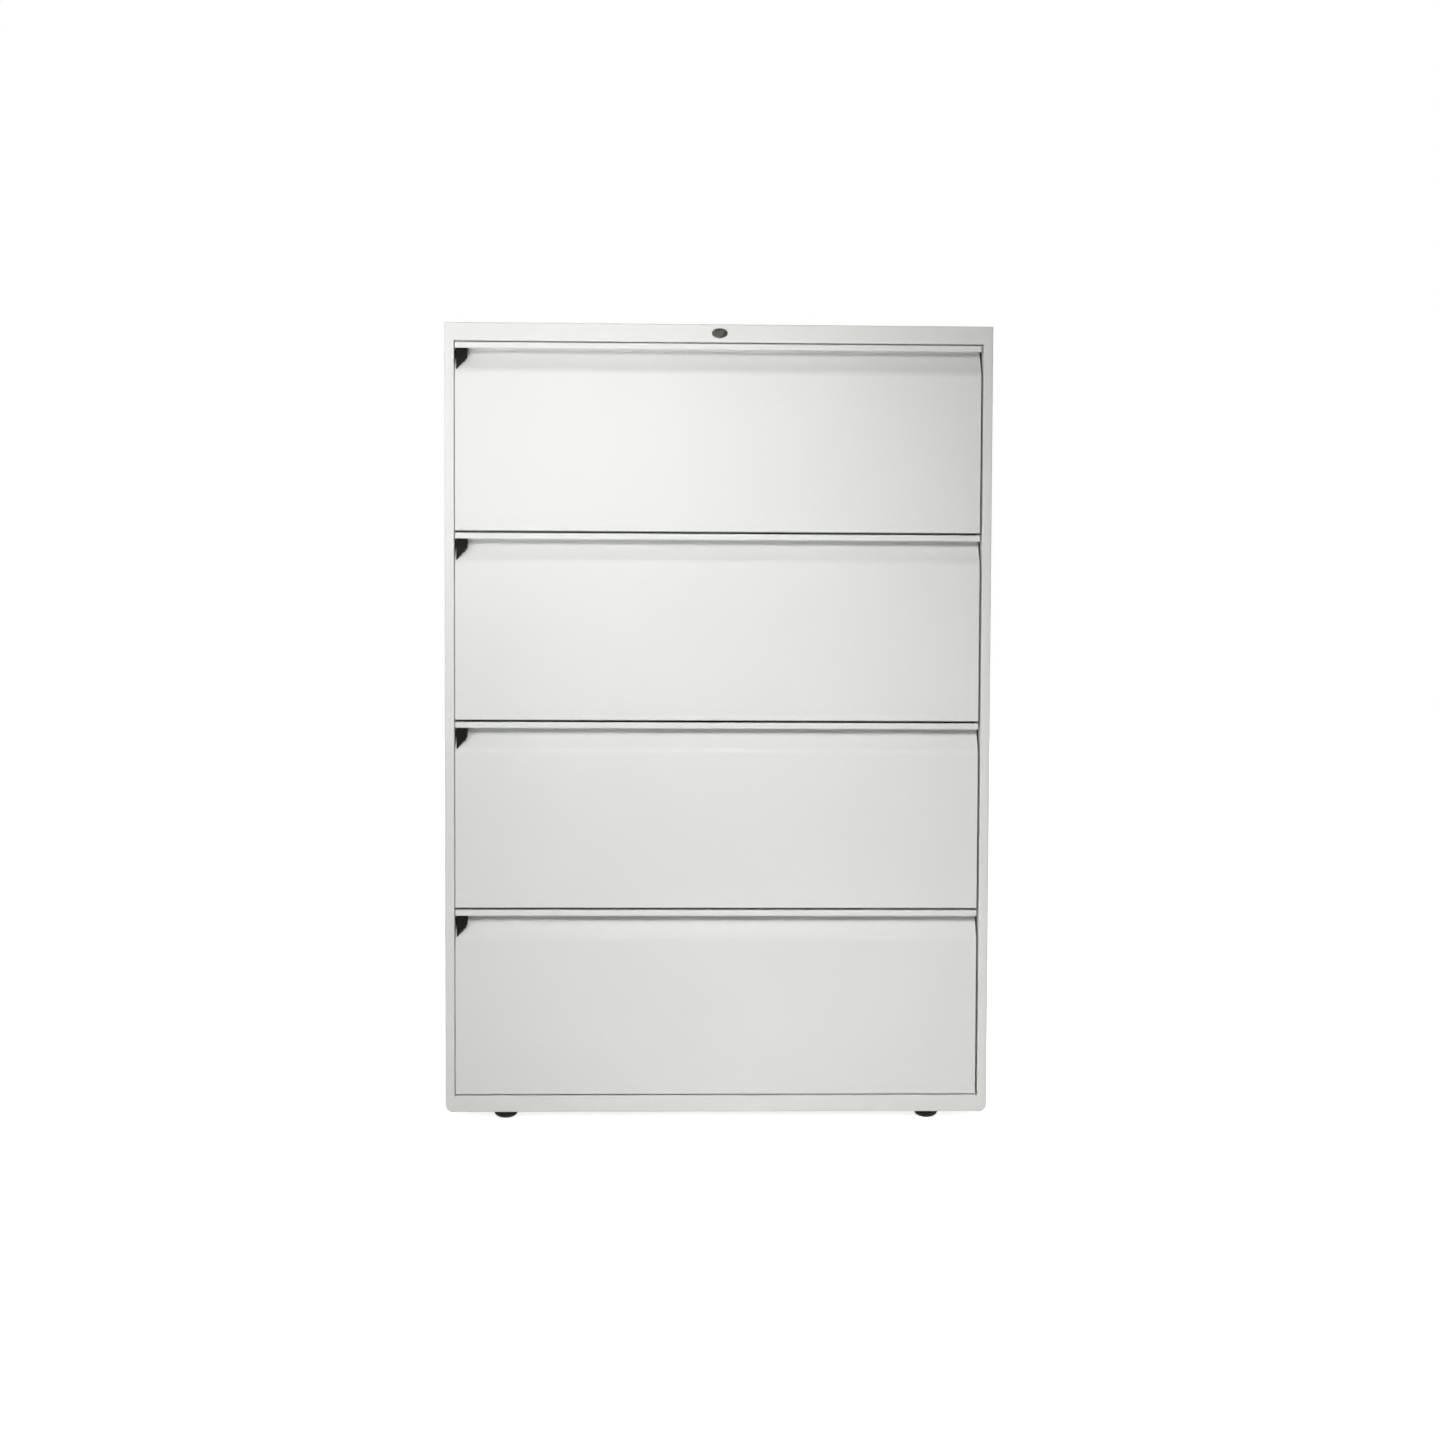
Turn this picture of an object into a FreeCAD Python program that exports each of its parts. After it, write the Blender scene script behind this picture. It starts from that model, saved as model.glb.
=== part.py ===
"""Four-drawer lateral storage cabinet in folded sheet steel.

Lengths are in millimetres. X runs across the front, Y from the front to the back, Z up.
The origin is on the floor, under the middle of the cabinet.
"""
import FreeCAD, Part
import os
import re

import Sketcher

DRAWERS = 4
# Stiffening ribs in each drawer's bottom, as shares of its half width from the middle
RIB_SHARES = (-0.5, 0, 0.5)

SIZES = {
    # Case
    "case_wide": 914,
    "case_deep": 457,
    "case_high": 1321,
    "case_sheet": 1.0,
    "corner_round": 13,
    "case_fold": 2,
    "stile_wide": 16,
    "stile_return": 20,
    "top_rail_high": 30,
    "bottom_rail_high": 28,
    "rail_return": 20,
    "cut_over": 2,
    # Posts that carry the slides
    "post_sheet": 1.5,
    "post_foot": 12,
    "post_web": 30,
    "post_stand": 16,
    "front_post_place": 44,
    "rear_post_inset": 72,
    "post_slot_wide": 4,
    "post_slot_high": 14,
    "post_slot_step": 34,
    # Levelling glides
    "foot_shown": 13,
    "foot_radius": 18.5,
    "foot_flat_radius": 8,
    "foot_bend_radius": 15.5,
    "foot_bend_high": 3.6,
    "foot_rim": 4,
    "foot_gap": 0.3,
    "glide_inset": 100,
    "glide_back": 22,
    "stem_radius": 4.75,
    "stem_long": 24,
    "stem_slot_wide": 1.6,
    "stem_slot_deep": 2,
    "run_gap": 0.05,
    "hole_gap": 0.5,
    "nut_radius": 9,
    "nut_high": 8,
    # Counterweight
    "weight_clear": 47,
    "weight_deep": 110,
    "weight_high": 22,
    "weight_back": 24,
    # Drawer fronts
    "face_gap": 3.5,
    "end_gap": 2,
    "side_gap": 2.5,
    "face_sheet": 1.0,
    "face_fold": 2,
    "front_deep": 22,
    "lip_high": 8,
    "hem_gap": 2.4,
    "hem_high": 5,
    "hem_round": 1,
    "pull_high": 47,
    "pull_back_high": 10,
    "pull_turn": 24,
    "pull_back_turn": 6,
    # Drawer bodies
    "tray_sheet": 0.8,
    "tray_fold": 2,
    "tray_lift": 12,
    "tray_clear": 48.5,
    "tray_back_gap": 47,
    "tray_hem": 9,
    "tray_rib_wide": 24,
    "tray_rib_deep": 3,
    "tray_rib_edge": 5,
    "wall_inset": 1.5,
    "rail_bar_wide": 10,
    "rail_bar_high": 14,
    "rail_bar_sheet": 1.5,
    "rail_bar_front": 40,
    "rail_bar_back": 43,
    "rail_bar_end_gap": 4,
    # Telescopic slides
    "slide_thick": 12.7,
    "slide_sheet": 1.2,
    "slide_start": 42,
    "slide_back_gap": 25,
    "slide_level": 110,
    "slide_half_high": 22.5,
    "outer_reach": 10,
    "mid_step": 3.4,
    "mid_reach": 7.6,
    "inner_reach": 6.5,
    "race_high": 4.3,
    "cage_thick": 4,
    "cage_seat": 0.05,
    "cage_long": 130,
    "cage_end": 8,
    # Drawer latches
    "latch_gap": 0.4,
    "latch_edge": 1,
    "latch_wide": 20,
    "latch_high": 44,
    "latch_slant_high": 20,
    "latch_toe": 5,
    "latch_round": 3,
    "latch_travel": 3,
    "tongue_proud": 1.5,
    "tongue_front": 4,
    "tongue_thick": 6,
    "tongue_high": 12,
    "tongue_drop": 14,
    "keeper_gap": 0.5,
    "keeper_lip": 2.5,
    "latch_stem_wide": 6,
    "latch_stem_deep": 4,
    "latch_stem_front": 9,
    "latch_stem_in": 7,
    "latch_stem_drop": 40,
    "latch_stem_top": 20,
    "latch_foot_over": 2,
    "latch_foot_high": 3,
    # Lock
    "lock_proud": 2,
    "lock_half_wide": 13,
    "lock_half_high": 8,
    "lock_bevel": 1,
    "barrel_radius": 9,
    "barrel_long": 26,
    "barrel_collar": 3,
    "collar_step": 2,
    "plug_radius": 5.5,
    "plug_sink": 0.4,
    "key_wide": 1.4,
    "key_high": 7.5,
    "key_deep": 9,
    "plate_thick": 2,
    "plate_gap": 0.5,
    "cam_hub": 7,
    "cam_reach": 9,
    "cam_tip": 3,
    "pin_radius": 1.8,
    "pin_play": 0.5,
    "link_wide": 11.3,
    "link_end": 7,
    "crank_reach": 11,
    "crank_margin": 4.5,
    "pivot_radius": 2.5,
    "pivot_inset": 21,
    "pivot_drop": 17,
    "bracket_wide": 20,
    "bracket_down": 9,
    "bar_wide": 8,
    "bar_head": 9,
    "finger_reach": 12,
    "finger_high": 8,
    "finger_level": 184,
    "tab_gap": 2,
    "tab_out": 9.5,
    "tab_high": 13,
    "tab_level": 167,
    "guide_high": 14,
    "guide_wall": 1.6,
    "guide_gap": 0.4,
    "guide_level": 60,
}

WORKED = {
    "case_top": "foot_shown + case_high",
    "half_wide": "case_wide / 2",
    "opening_half": "half_wide - stile_wide",
    "front_place": "(lock_proud - case_deep) / 2",
    "rail_bottom": "case_top - top_rail_high",
    "face_half": "opening_half - side_gap",
    "face_room": "case_high - top_rail_high - bottom_rail_high - 2 * end_gap",
    "face_high": f"(face_room - {DRAWERS - 1} * face_gap) / {DRAWERS}",
    "face_pitch": "face_high + face_gap",
    "lowest_face": "foot_shown + bottom_rail_high + end_gap",
    "wall_inside": "half_wide - case_sheet",
    "post_face": "wall_inside - post_stand",
    "tray_half": "post_face - slide_thick",
    "tray_top": "face_high - tray_clear",
    "tray_deep": "case_deep - front_deep - tray_back_gap",
    "recess_back": "front_deep - face_sheet",
    "hem_back": "2 * face_sheet + hem_gap",
    "rear_rail_place": "front_deep + tray_deep - rail_bar_back - rail_bar_wide",
    "slide_long": "case_deep - slide_start - slide_back_gap",
    "slide_end": "slide_start + slide_long",
    "rear_post_place": "slide_end - rear_post_inset",
    "mid_half_high": "slide_half_high - slide_sheet - race_high",
    "inner_half_high": "mid_half_high - slide_sheet - race_high",
    "lock_level": "case_top - top_rail_high / 2",
    "cam_front": "barrel_long + plate_gap",
    "link_front": "cam_front + plate_thick + plate_gap",
    "crank_front": "link_front + plate_thick + plate_gap",
    "bar_front": "crank_front + plate_thick + plate_gap",
    "bracket_front": "bar_front + plate_thick + plate_gap",
    "cam_shift": "cam_reach * sin(45 deg)",
    "crank_rise": "sqrt(crank_reach * crank_reach - cam_shift * cam_shift)",
    "pivot_level": "case_top - pivot_drop",
    "pivot_side": "half_wide - pivot_inset",
}


def spelled(text):
    """Write a size in terms of the sheet's own cells."""
    def swap(match):
        word = match.group(0)
        if word in WORKED:
            return "(" + spelled(WORKED[word]) + ")"
        return "Sizes." + word if word in SIZES else word
    return re.sub(r"[a-z_]+", swap, str(text))


document = FreeCAD.newDocument("lateral_cabinet")
sheet = document.addObject("Spreadsheet::Sheet", "Sizes")
for row, (word, number) in enumerate(SIZES.items(), start=1):
    sheet.set(f"A{row}", word)
    sheet.set(f"B{row}", str(number))
    sheet.setAlias(f"B{row}", word)
document.recompute()

VIEWS = {
    "plan": (FreeCAD.Rotation(), FreeCAD.Vector(0, 0, 1), "z"),
    "front": (FreeCAD.Rotation(FreeCAD.Vector(1, 0, 0), 90), FreeCAD.Vector(0, 1, 0), "y"),
    "side": (FreeCAD.Rotation(FreeCAD.Vector(1, 1, 1), 120), FreeCAD.Vector(1, 0, 0), "x"),
}
pieces = []


def worth(text):
    """Read a size as a number."""
    return float(sheet.evalExpression(spelled(text)))


def bind(thing, **sizes):
    """Tie properties of an object to sizes; two underscores stand for a dot."""
    for prop, text in sizes.items():
        thing.setExpression(prop.replace("__", "."), spelled(text))
    return thing


def drawn(name, view, start, corners, turns, closed):
    """Draw a fully constrained outline or path, with an arc at each corner that turns."""
    sketch = document.addObject("Sketcher::SketchObject", name)
    turn, _, letter = VIEWS[view]
    sketch.Placement = FreeCAD.Placement(FreeCAD.Vector(), turn)
    bind(sketch, **{f"Placement__Base__{letter}": start})
    places = [FreeCAD.Vector(worth(across), worth(up), 0) for across, up in corners]
    ends = places[1:] + places[:1] if closed else places[1:]
    for first, last in zip(places, ends):
        sketch.addGeometry(Part.LineSegment(first, last))
    lines = len(ends)
    for line in range(lines if closed else lines - 1):
        sketch.addConstraint(Sketcher.Constraint("Coincident", line, 2, (line + 1) % lines, 1))
    held = [(0, 1, corners[0])] + [(line, 2, corners[line + 1]) for line in range(len(corners) - 1)]
    for line, end, corner in held:
        for way, text in zip(("DistanceX", "DistanceY"), corner):
            number = sketch.addConstraint(Sketcher.Constraint(way, -1, 1, line, end, worth(text)))
            sketch.setExpression(f"Constraints[{number}]", spelled(text))
    for line, text in enumerate(turns):
        if text:
            sketch.fillet(line, 2, worth(text), True, True)
            arc = max(index for index, shape in enumerate(sketch.Geometry)
                      if isinstance(shape, Part.ArcOfCircle))
            number = sketch.addConstraint(Sketcher.Constraint("Radius", arc, worth(text)))
            sketch.setExpression(f"Constraints[{number}]", spelled(text))
    return sketch


def extruded(name, face, view, long):
    """Extrude a flat face straight along its view's axis."""
    result = document.addObject("Part::Extrusion", name)
    result.Base = face
    result.DirMode = "Custom"
    result.Dir = VIEWS[view][1]
    result.Solid = True
    return bind(result, LengthFwd=long)


def folded(name, view, corners, turns, thick, start, long):
    """Fold a sheet along a path; a negative thickness lies left of the path, else right."""
    # The front view is drawn looking along +Y, which turns left and right round
    hand = "-1 * " if view == "front" else ""
    path = drawn(name + "_path", view, start, corners, turns, False)
    section = document.addObject("Part::Offset2D", name + "_section")
    section.Source = path
    section.Mode = "Skin"
    section.Join = "Intersection"
    section.Fill = True
    bind(section, Value=hand + thick)
    return extruded(name + "_sheet", section, view, long)


def slab(name, view, corners, turns, start, long):
    """Extrude a closed outline."""
    return extruded(name, drawn(name + "_outline", view, start, corners, turns, True), view, long)


def block(name, across, deep, high):
    """Make a box between the given pairs of places along X, Y and Z."""
    box = document.addObject("Part::Box", name)
    for letter, prop, (low, top) in zip("xyz", ("Length", "Width", "Height"), (across, deep, high)):
        bind(box, **{f"Placement__Base__{letter}": low, prop: f"({top}) - ({low})"})
    return box


def rod(name, axis, radius, long, x, y, z):
    """Make a cylinder that starts at a place and runs along an axis."""
    turns = {
        "x": FreeCAD.Rotation(FreeCAD.Vector(0, 1, 0), 90),
        "y": FreeCAD.Rotation(FreeCAD.Vector(1, 0, 0), -90),
        "z": FreeCAD.Rotation(),
    }
    cylinder = document.addObject("Part::Cylinder", name)
    cylinder.Placement = FreeCAD.Placement(FreeCAD.Vector(), turns[axis])
    return bind(cylinder, Radius=radius, Height=long, Placement__Base__x=x,
                Placement__Base__y=y, Placement__Base__z=z)


def fused(name, *shapes):
    """Join shapes that are one solid on the real piece."""
    result = document.addObject("Part::MultiFuse", name)
    result.Shapes = list(shapes)
    result.Refine = True
    return result


def shared(name, *shapes):
    """Keep only what all the shapes share."""
    result = document.addObject("Part::MultiCommon", name)
    result.Shapes = list(shapes)
    result.Refine = True
    return result


def cut(name, base, *tools):
    """Cut tools from a base."""
    result = document.addObject("Part::Cut", name)
    result.Base = base
    result.Tool = tools[0] if len(tools) == 1 else grouped(name + "_tools", *tools)
    result.Refine = True
    return result


def grouped(name, *shapes):
    """Keep shapes together as separate solids."""
    result = document.addObject("Part::Compound", name)
    result.Links = list(shapes)
    return result


def mirrored(name, source):
    """Mirror a left-hand shape to the right."""
    result = document.addObject("Part::Mirroring", name)
    result.Source = source
    result.Normal = FreeCAD.Vector(1, 0, 0)
    return result


def both_sides(name, source):
    """Group a left-hand shape with its right-hand twin."""
    return grouped(name, source, mirrored(name + "_right", source))


def piece(node, shape, level="0"):
    """Name a finished sub-part and stand it in its place."""
    placed = grouped(node, shape)
    placed.Label = node
    bind(placed, Placement__Base__y="front_place", Placement__Base__z=level)
    pieces.append(placed)
    return placed


# Outer form that the corners of the welded case are dressed to
front_outline = slab("case_front_outline", "front",
                     [("-half_wide", "foot_shown"), ("half_wide", "foot_shown"),
                      ("half_wide", "case_top"), ("-half_wide", "case_top")],
                     ["corner_round", "", "", "corner_round"], "0", "case_deep")
plan_outline = slab("case_plan_outline", "plan",
                    [("-half_wide", "0"), ("half_wide", "0"),
                     ("half_wide", "case_deep"), ("-half_wide", "case_deep")],
                    ["case_fold"] * 4, "foot_shown", "case_high")

# Side panels, each one sheet with a front stile and a rear flange
stile_and_flange = folded(
    "side_wrap", "plan",
    [("-opening_half", "stile_return"), ("-opening_half", "0"), ("-half_wide", "0"),
     ("-half_wide", "case_deep"), ("-opening_half", "case_deep")],
    ["case_fold"] * 3, "case_sheet", "foot_shown", "case_high - top_rail_high")
rounded_wall = folded(
    "side_wall", "front",
    [("-opening_half", "foot_shown"), ("-half_wide", "foot_shown"), ("-half_wide", "case_top")],
    ["corner_round"], "case_sheet", "0", "case_deep")
left_side = shared("left_side", fused("left_side_joined", stile_and_flange, rounded_wall),
                   front_outline, plan_outline)
keepers, lips = [], []
for number in range(DRAWERS):
    tongue_top = f"lowest_face + {number} * face_pitch + face_high - tongue_drop"
    slot_deep = ("tongue_front - keeper_gap", "tongue_front + tongue_thick + keeper_gap")
    slot_low, slot_top = f"{tongue_top} - tongue_high - keeper_gap", f"{tongue_top} + keeper_gap"
    keepers.append(block(
        f"keeper_{number + 1}",
        ("-opening_half - case_sheet - keeper_gap", "-opening_half + keeper_gap"),
        slot_deep, (slot_low, slot_top)))
    # The slot's upper and lower edges are turned in, to bear the tongue
    for edge, high in (("upper", (slot_top, f"{slot_top} + case_sheet")),
                       ("lower", (f"{slot_low} - case_sheet", slot_low))):
        lips.append(block(f"keeper_lip_{edge}_{number + 1}",
                          ("-opening_half - case_sheet - keeper_lip", "-opening_half"),
                          slot_deep, high))
piece("left_side_panel", cut("left_side_slotted", fused("left_side_lipped", left_side, *lips),
                             *keepers))
piece("right_side_panel", mirrored("right_side", left_side))

# Top panel, folded down into the top rail and the rear flange
top_wrap = folded(
    "top_wrap", "side",
    [("rail_return", "rail_bottom"), ("0", "rail_bottom"), ("0", "case_top"),
     ("case_deep", "case_top"), ("case_deep", "rail_bottom")],
    ["case_fold"] * 3, "case_sheet", "-wall_inside", "2 * wall_inside")
lock_hole = rod("lock_hole", "y", "barrel_radius + run_gap", "2 * cut_over + case_sheet",
                "0", "-cut_over", "lock_level")
piece("top_panel", cut("top_bored", shared("top_dressed", top_wrap, plan_outline), lock_hole))

# Back panel, lapped inside the rear flanges
piece("back_panel", block("back_sheet", ("case_fold - half_wide", "half_wide - case_fold"),
                          ("case_deep - 2 * case_sheet", "case_deep - case_sheet"),
                          ("foot_shown + corner_round", "case_top - case_fold")))

# Base pan, folded up into the bottom rail and the rear flange
base_wrap = folded(
    "base_wrap", "side",
    [("case_deep", "foot_shown + bottom_rail_high"), ("case_deep", "foot_shown"),
     ("0", "foot_shown"), ("0", "foot_shown + bottom_rail_high"),
     ("rail_return", "foot_shown + bottom_rail_high")],
    ["case_fold"] * 3, "case_sheet", "-opening_half", "2 * opening_half")
glide_places = {
    "front_left": ("glide_inset - half_wide", "glide_back"),
    "front_right": ("half_wide - glide_inset", "glide_back"),
    "rear_left": ("glide_inset - half_wide", "case_deep - glide_back"),
    "rear_right": ("half_wide - glide_inset", "case_deep - glide_back"),
}
stem_holes = [
    rod(f"stem_hole_{corner}", "z", "stem_radius + hole_gap", "case_sheet + 2 * cut_over",
        x, y, "foot_shown - cut_over")
    for corner, (x, y) in glide_places.items()
]
piece("base_pan", cut("base_bored", base_wrap, *stem_holes))

# Posts, hat channels welded to the walls, with slots that the slides hook into
for node, place in (("front_posts", "front_post_place"), ("rear_posts", "rear_post_place")):
    post = folded(
        node, "plan",
        [("post_sheet - wall_inside", place),
         ("post_sheet - wall_inside", f"{place} + post_foot"),
         ("-post_face", f"{place} + post_foot"),
         ("-post_face", f"{place} + post_foot + post_web"),
         ("post_sheet - wall_inside", f"{place} + post_foot + post_web"),
         ("post_sheet - wall_inside", f"{place} + 2 * post_foot + post_web")],
        [], "-post_sheet", "foot_shown + corner_round",
        "rail_bottom - foot_shown - corner_round")
    middle = f"({place} + post_foot + post_web / 2)"
    slots = []
    for number in range(DRAWERS):
        for way in ("+", "-"):
            centre = f"lowest_face + {number} * face_pitch + slide_level {way} post_slot_step"
            slots.append(block(
                f"{node}_slot_{len(slots) + 1}",
                ("-post_face - post_sheet - cut_over", "-post_face + cut_over"),
                (f"{middle} - post_slot_wide / 2", f"{middle} + post_slot_wide / 2"),
                (f"{centre} - post_slot_high / 2", f"{centre} + post_slot_high / 2")))
    piece(node, both_sides(node + "_pair", cut(node + "_slotted", post, *slots)))

# Counterweight that keeps the cabinet from tipping with a drawer open
weight_half = "(half_wide - glide_inset - weight_clear)"
piece("counterweight", block("weight", (f"-{weight_half}", weight_half),
                             ("case_deep - weight_back - weight_deep", "case_deep - weight_back"),
                             ("foot_shown + case_sheet",
                              "foot_shown + case_sheet + weight_high")))

# Levelling glides, moulded feet on threaded stems, and their weld nuts
nuts = []
for corner, (x, y) in glide_places.items():
    outline = drawn(f"foot_{corner}_profile", "front", "0",
                    [("0", "0"), ("foot_flat_radius", "0"),
                     ("foot_bend_radius", "foot_bend_high"),
                     ("foot_radius", "foot_shown - foot_gap - foot_rim"),
                     ("foot_radius", "foot_shown - foot_gap"),
                     ("stem_radius", "foot_shown - foot_gap"),
                     ("stem_radius", "foot_shown - foot_gap + stem_long"),
                     ("0", "foot_shown - foot_gap + stem_long")],
                    [], True)
    glide = document.addObject("Part::Revolution", f"glide_{corner}_turned")
    glide.Source = outline
    glide.Axis = FreeCAD.Vector(0, 0, 1)
    glide.Solid = True
    drive = block(f"glide_{corner}_drive", ("-stem_radius - cut_over", "stem_radius + cut_over"),
                  ("-stem_slot_wide / 2", "stem_slot_wide / 2"),
                  ("foot_shown - foot_gap + stem_long - stem_slot_deep",
                   "foot_shown - foot_gap + stem_long + cut_over"))
    stood = bind(grouped(f"glide_{corner}_stood", cut(f"glide_{corner}_slotted", glide, drive)),
                 Placement__Base__x=x, Placement__Base__y=y)
    piece(f"levelling_glide_{corner}", stood)
    nut = document.addObject("Part::Prism", f"nut_{corner}")
    nut.Polygon = 6
    bind(nut, Circumradius="nut_radius", Height="nut_high", Placement__Base__x=x,
         Placement__Base__y=y, Placement__Base__z="foot_shown + case_sheet")
    bore = rod(f"nut_bore_{corner}", "z", "stem_radius + run_gap", "nut_high + 2 * cut_over",
               x, y, "foot_shown + case_sheet - cut_over")
    nuts.append(cut(f"nut_{corner}_bored", nut, bore))
piece("glide_nuts", grouped("weld_nuts", *nuts))

# Lock: oval plate and barrel in the top rail
oval = document.addObject("Part::Ellipse", "oval")
oval.Placement = FreeCAD.Placement(FreeCAD.Vector(), VIEWS["front"][0])
bind(oval, MajorRadius="lock_half_wide", MinorRadius="lock_half_high",
     Placement__Base__y="-lock_proud", Placement__Base__z="lock_level")
plate = extruded("lock_plate", oval, "front", "lock_proud")
bevelled_plate = document.addObject("Part::Chamfer", "lock_plate_bevelled")
bevelled_plate.Base = plate
document.recompute()
front_rim = min(range(len(plate.Shape.Edges)),
                key=lambda index: plate.Shape.Edges[index].CenterOfMass.y)
bevelled_plate.Edges = [(front_rim + 1, worth("lock_bevel"), worth("lock_bevel"))]
plug_bore = rod("plug_bore", "y", "plug_radius + run_gap",
                "lock_proud + barrel_long + 2 * cut_over", "0", "-lock_proud - cut_over",
                "lock_level")
piece("lock_escutcheon", cut("lock_plate_bored", bevelled_plate, plug_bore))
barrel = fused("lock_barrel_joined",
               rod("barrel_body", "y", "barrel_radius", "barrel_long", "0", "0", "lock_level"),
               rod("barrel_nut", "y", "barrel_radius + collar_step", "barrel_collar", "0",
                   "case_sheet", "lock_level"))
piece("lock_barrel", cut("lock_barrel_bored", barrel, plug_bore))

# Lock: plug and the cam on its rear end
plug = rod("plug_body", "y", "plug_radius", "lock_proud - plug_sink + cam_front", "0",
           "plug_sink - lock_proud", "lock_level")
keyway = block("keyway", ("-key_wide / 2", "key_wide / 2"),
               ("-lock_proud - cut_over", "key_deep - lock_proud"),
               ("lock_level - key_high / 2", "lock_level + key_high / 2"))
piece("lock_plug", cut("plug_keyed", plug, keyway))
cam_side = "cam_tip * sin(45 deg)"
cam_arm = slab("cam_arm", "front",
               [(f"-{cam_side}", f"lock_level + {cam_side}"),
                (cam_side, f"lock_level - {cam_side}"),
                (f"cam_shift + {cam_side}", f"lock_level + cam_shift - {cam_side}"),
                (f"cam_shift - {cam_side}", f"lock_level + cam_shift + {cam_side}")],
               [""] * 4, "cam_front", "plate_thick")
piece("lock_cam", fused(
    "cam_joined", cam_arm,
    rod("cam_disc", "y", "cam_hub", "plate_thick", "0", "cam_front", "lock_level"),
    rod("cam_end", "y", "cam_tip", "plate_thick", "cam_shift", "cam_front",
        "lock_level + cam_shift"),
    rod("cam_pin", "y", "pin_radius", "2 * plate_thick + plate_gap", "cam_shift", "cam_front",
        "lock_level + cam_shift")))


def slot(name, along, x, z, reach, front):
    """Cut the slot that a turning pin slides in, along X or Z from its outer dead point."""
    half = "(pin_radius + pin_play)"
    if along == "z":
        return block(name, (f"{x} - {half}", f"{x} + {half}"),
                     (f"{front} - plate_gap", f"{front} + plate_thick + plate_gap"),
                     (f"{z} - {half}", f"{z} + {reach} + {half}"))
    return block(name, (f"{x} - {reach} - {half}", f"{x} + {half}"),
                 (f"{front} - plate_gap", f"{front} + plate_thick + plate_gap"),
                 (f"{z} - {half}", f"{z} + {half}"))


# Lock: flat link along the rail, moved by the cam and moving the bell crank
link_level = "lock_level + cam_shift"
link_bar = block("link_bar", ("cam_shift - pivot_side - link_end", "cam_shift + link_end"),
                 ("link_front", "link_front + plate_thick"),
                 (f"{link_level} + (cam_reach - cam_shift) / 2 - link_wide / 2",
                  f"{link_level} + (cam_reach - cam_shift) / 2 + link_wide / 2"))
piece("lock_link", cut(
    "link_slotted", link_bar,
    slot("link_cam_slot", "z", "cam_shift", link_level, "(cam_reach - cam_shift)", "link_front"),
    slot("link_crank_slot", "z", "(cam_shift - pivot_side)", "(pivot_level + crank_rise)",
         "(crank_reach - crank_rise)", "link_front")))

# Lock: bell crank on a bracket under the top panel
crank_lines = drawn("crank_triangle", "front", "crank_front",
                    [("-pivot_side", "pivot_level"),
                     ("cam_shift - pivot_side", "pivot_level + crank_rise"),
                     ("-pivot_side - crank_rise", "pivot_level + cam_shift")],
                    ["", "", ""], True)
crank_face = document.addObject("Part::Offset2D", "crank_face")
crank_face.Source = crank_lines
crank_face.Join = "Arc"
crank_face.Fill = False
bind(crank_face, Value="crank_margin")
crank_plate = extruded("crank_plate", crank_face, "front", "plate_thick")
crank_pins = [
    rod("crank_link_pin", "y", "pin_radius", "plate_thick + 2 * plate_gap",
        "cam_shift - pivot_side", "crank_front - plate_thick - plate_gap",
        "pivot_level + crank_rise"),
    rod("crank_bar_pin", "y", "pin_radius", "plate_thick + 2 * plate_gap",
        "-pivot_side - crank_rise", "crank_front + plate_thick - plate_gap",
        "pivot_level + cam_shift"),
]
piece("lock_crank", cut(
    "crank_bored", fused("crank_joined", crank_plate, *crank_pins),
    rod("crank_bore", "y", "pivot_radius + run_gap", "plate_thick + 2 * plate_gap",
        "-pivot_side", "crank_front - plate_gap", "pivot_level")))
piece("crank_bracket", fused(
    "bracket_joined",
    block("bracket_plate", ("-pivot_side - bracket_wide / 2", "-pivot_side + bracket_wide / 2"),
          ("bracket_front", "bracket_front + plate_thick"),
          ("pivot_level - bracket_down", "case_top - case_sheet")),
    rod("crank_pivot", "y", "pivot_radius", "bracket_front - crank_front + plate_gap",
        "-pivot_side", "crank_front - plate_gap", "pivot_level")))

# Lock: vertical bar with one finger in front of each drawer's tab
bar_middle = "(-pivot_side - crank_reach + (crank_reach - crank_rise) / 2)"
bar_strip = block("bar_strip", (f"{bar_middle} - bar_wide / 2", f"{bar_middle} + bar_wide / 2"),
                  ("bar_front", "bar_front + plate_thick"),
                  ("lowest_face + finger_level", "pivot_level + cam_shift"))
bar_head = block("bar_top", (f"{bar_middle} - bar_head / 2", f"{bar_middle} + bar_head / 2"),
                 ("bar_front", "bar_front + plate_thick"),
                 ("pivot_level + cam_shift - bar_head / 2",
                  "pivot_level + cam_shift + bar_head / 2"))
fingers = [
    block(f"finger_{number + 1}",
          (bar_middle, f"{bar_middle} + bar_wide / 2 + finger_reach"),
          ("bar_front", "bar_front + plate_thick"),
          (f"lowest_face + {number} * face_pitch + finger_level",
           f"lowest_face + {number} * face_pitch + finger_level + finger_high"))
    for number in range(DRAWERS)
]
piece("lock_bar", cut(
    "bar_slotted", fused("bar_joined", bar_strip, bar_head, *fingers),
    slot("bar_slot", "x", "(-pivot_side - crank_rise)", "(pivot_level + cam_shift)",
         "(crank_reach - crank_rise)", "bar_front")))
guides = []
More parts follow.
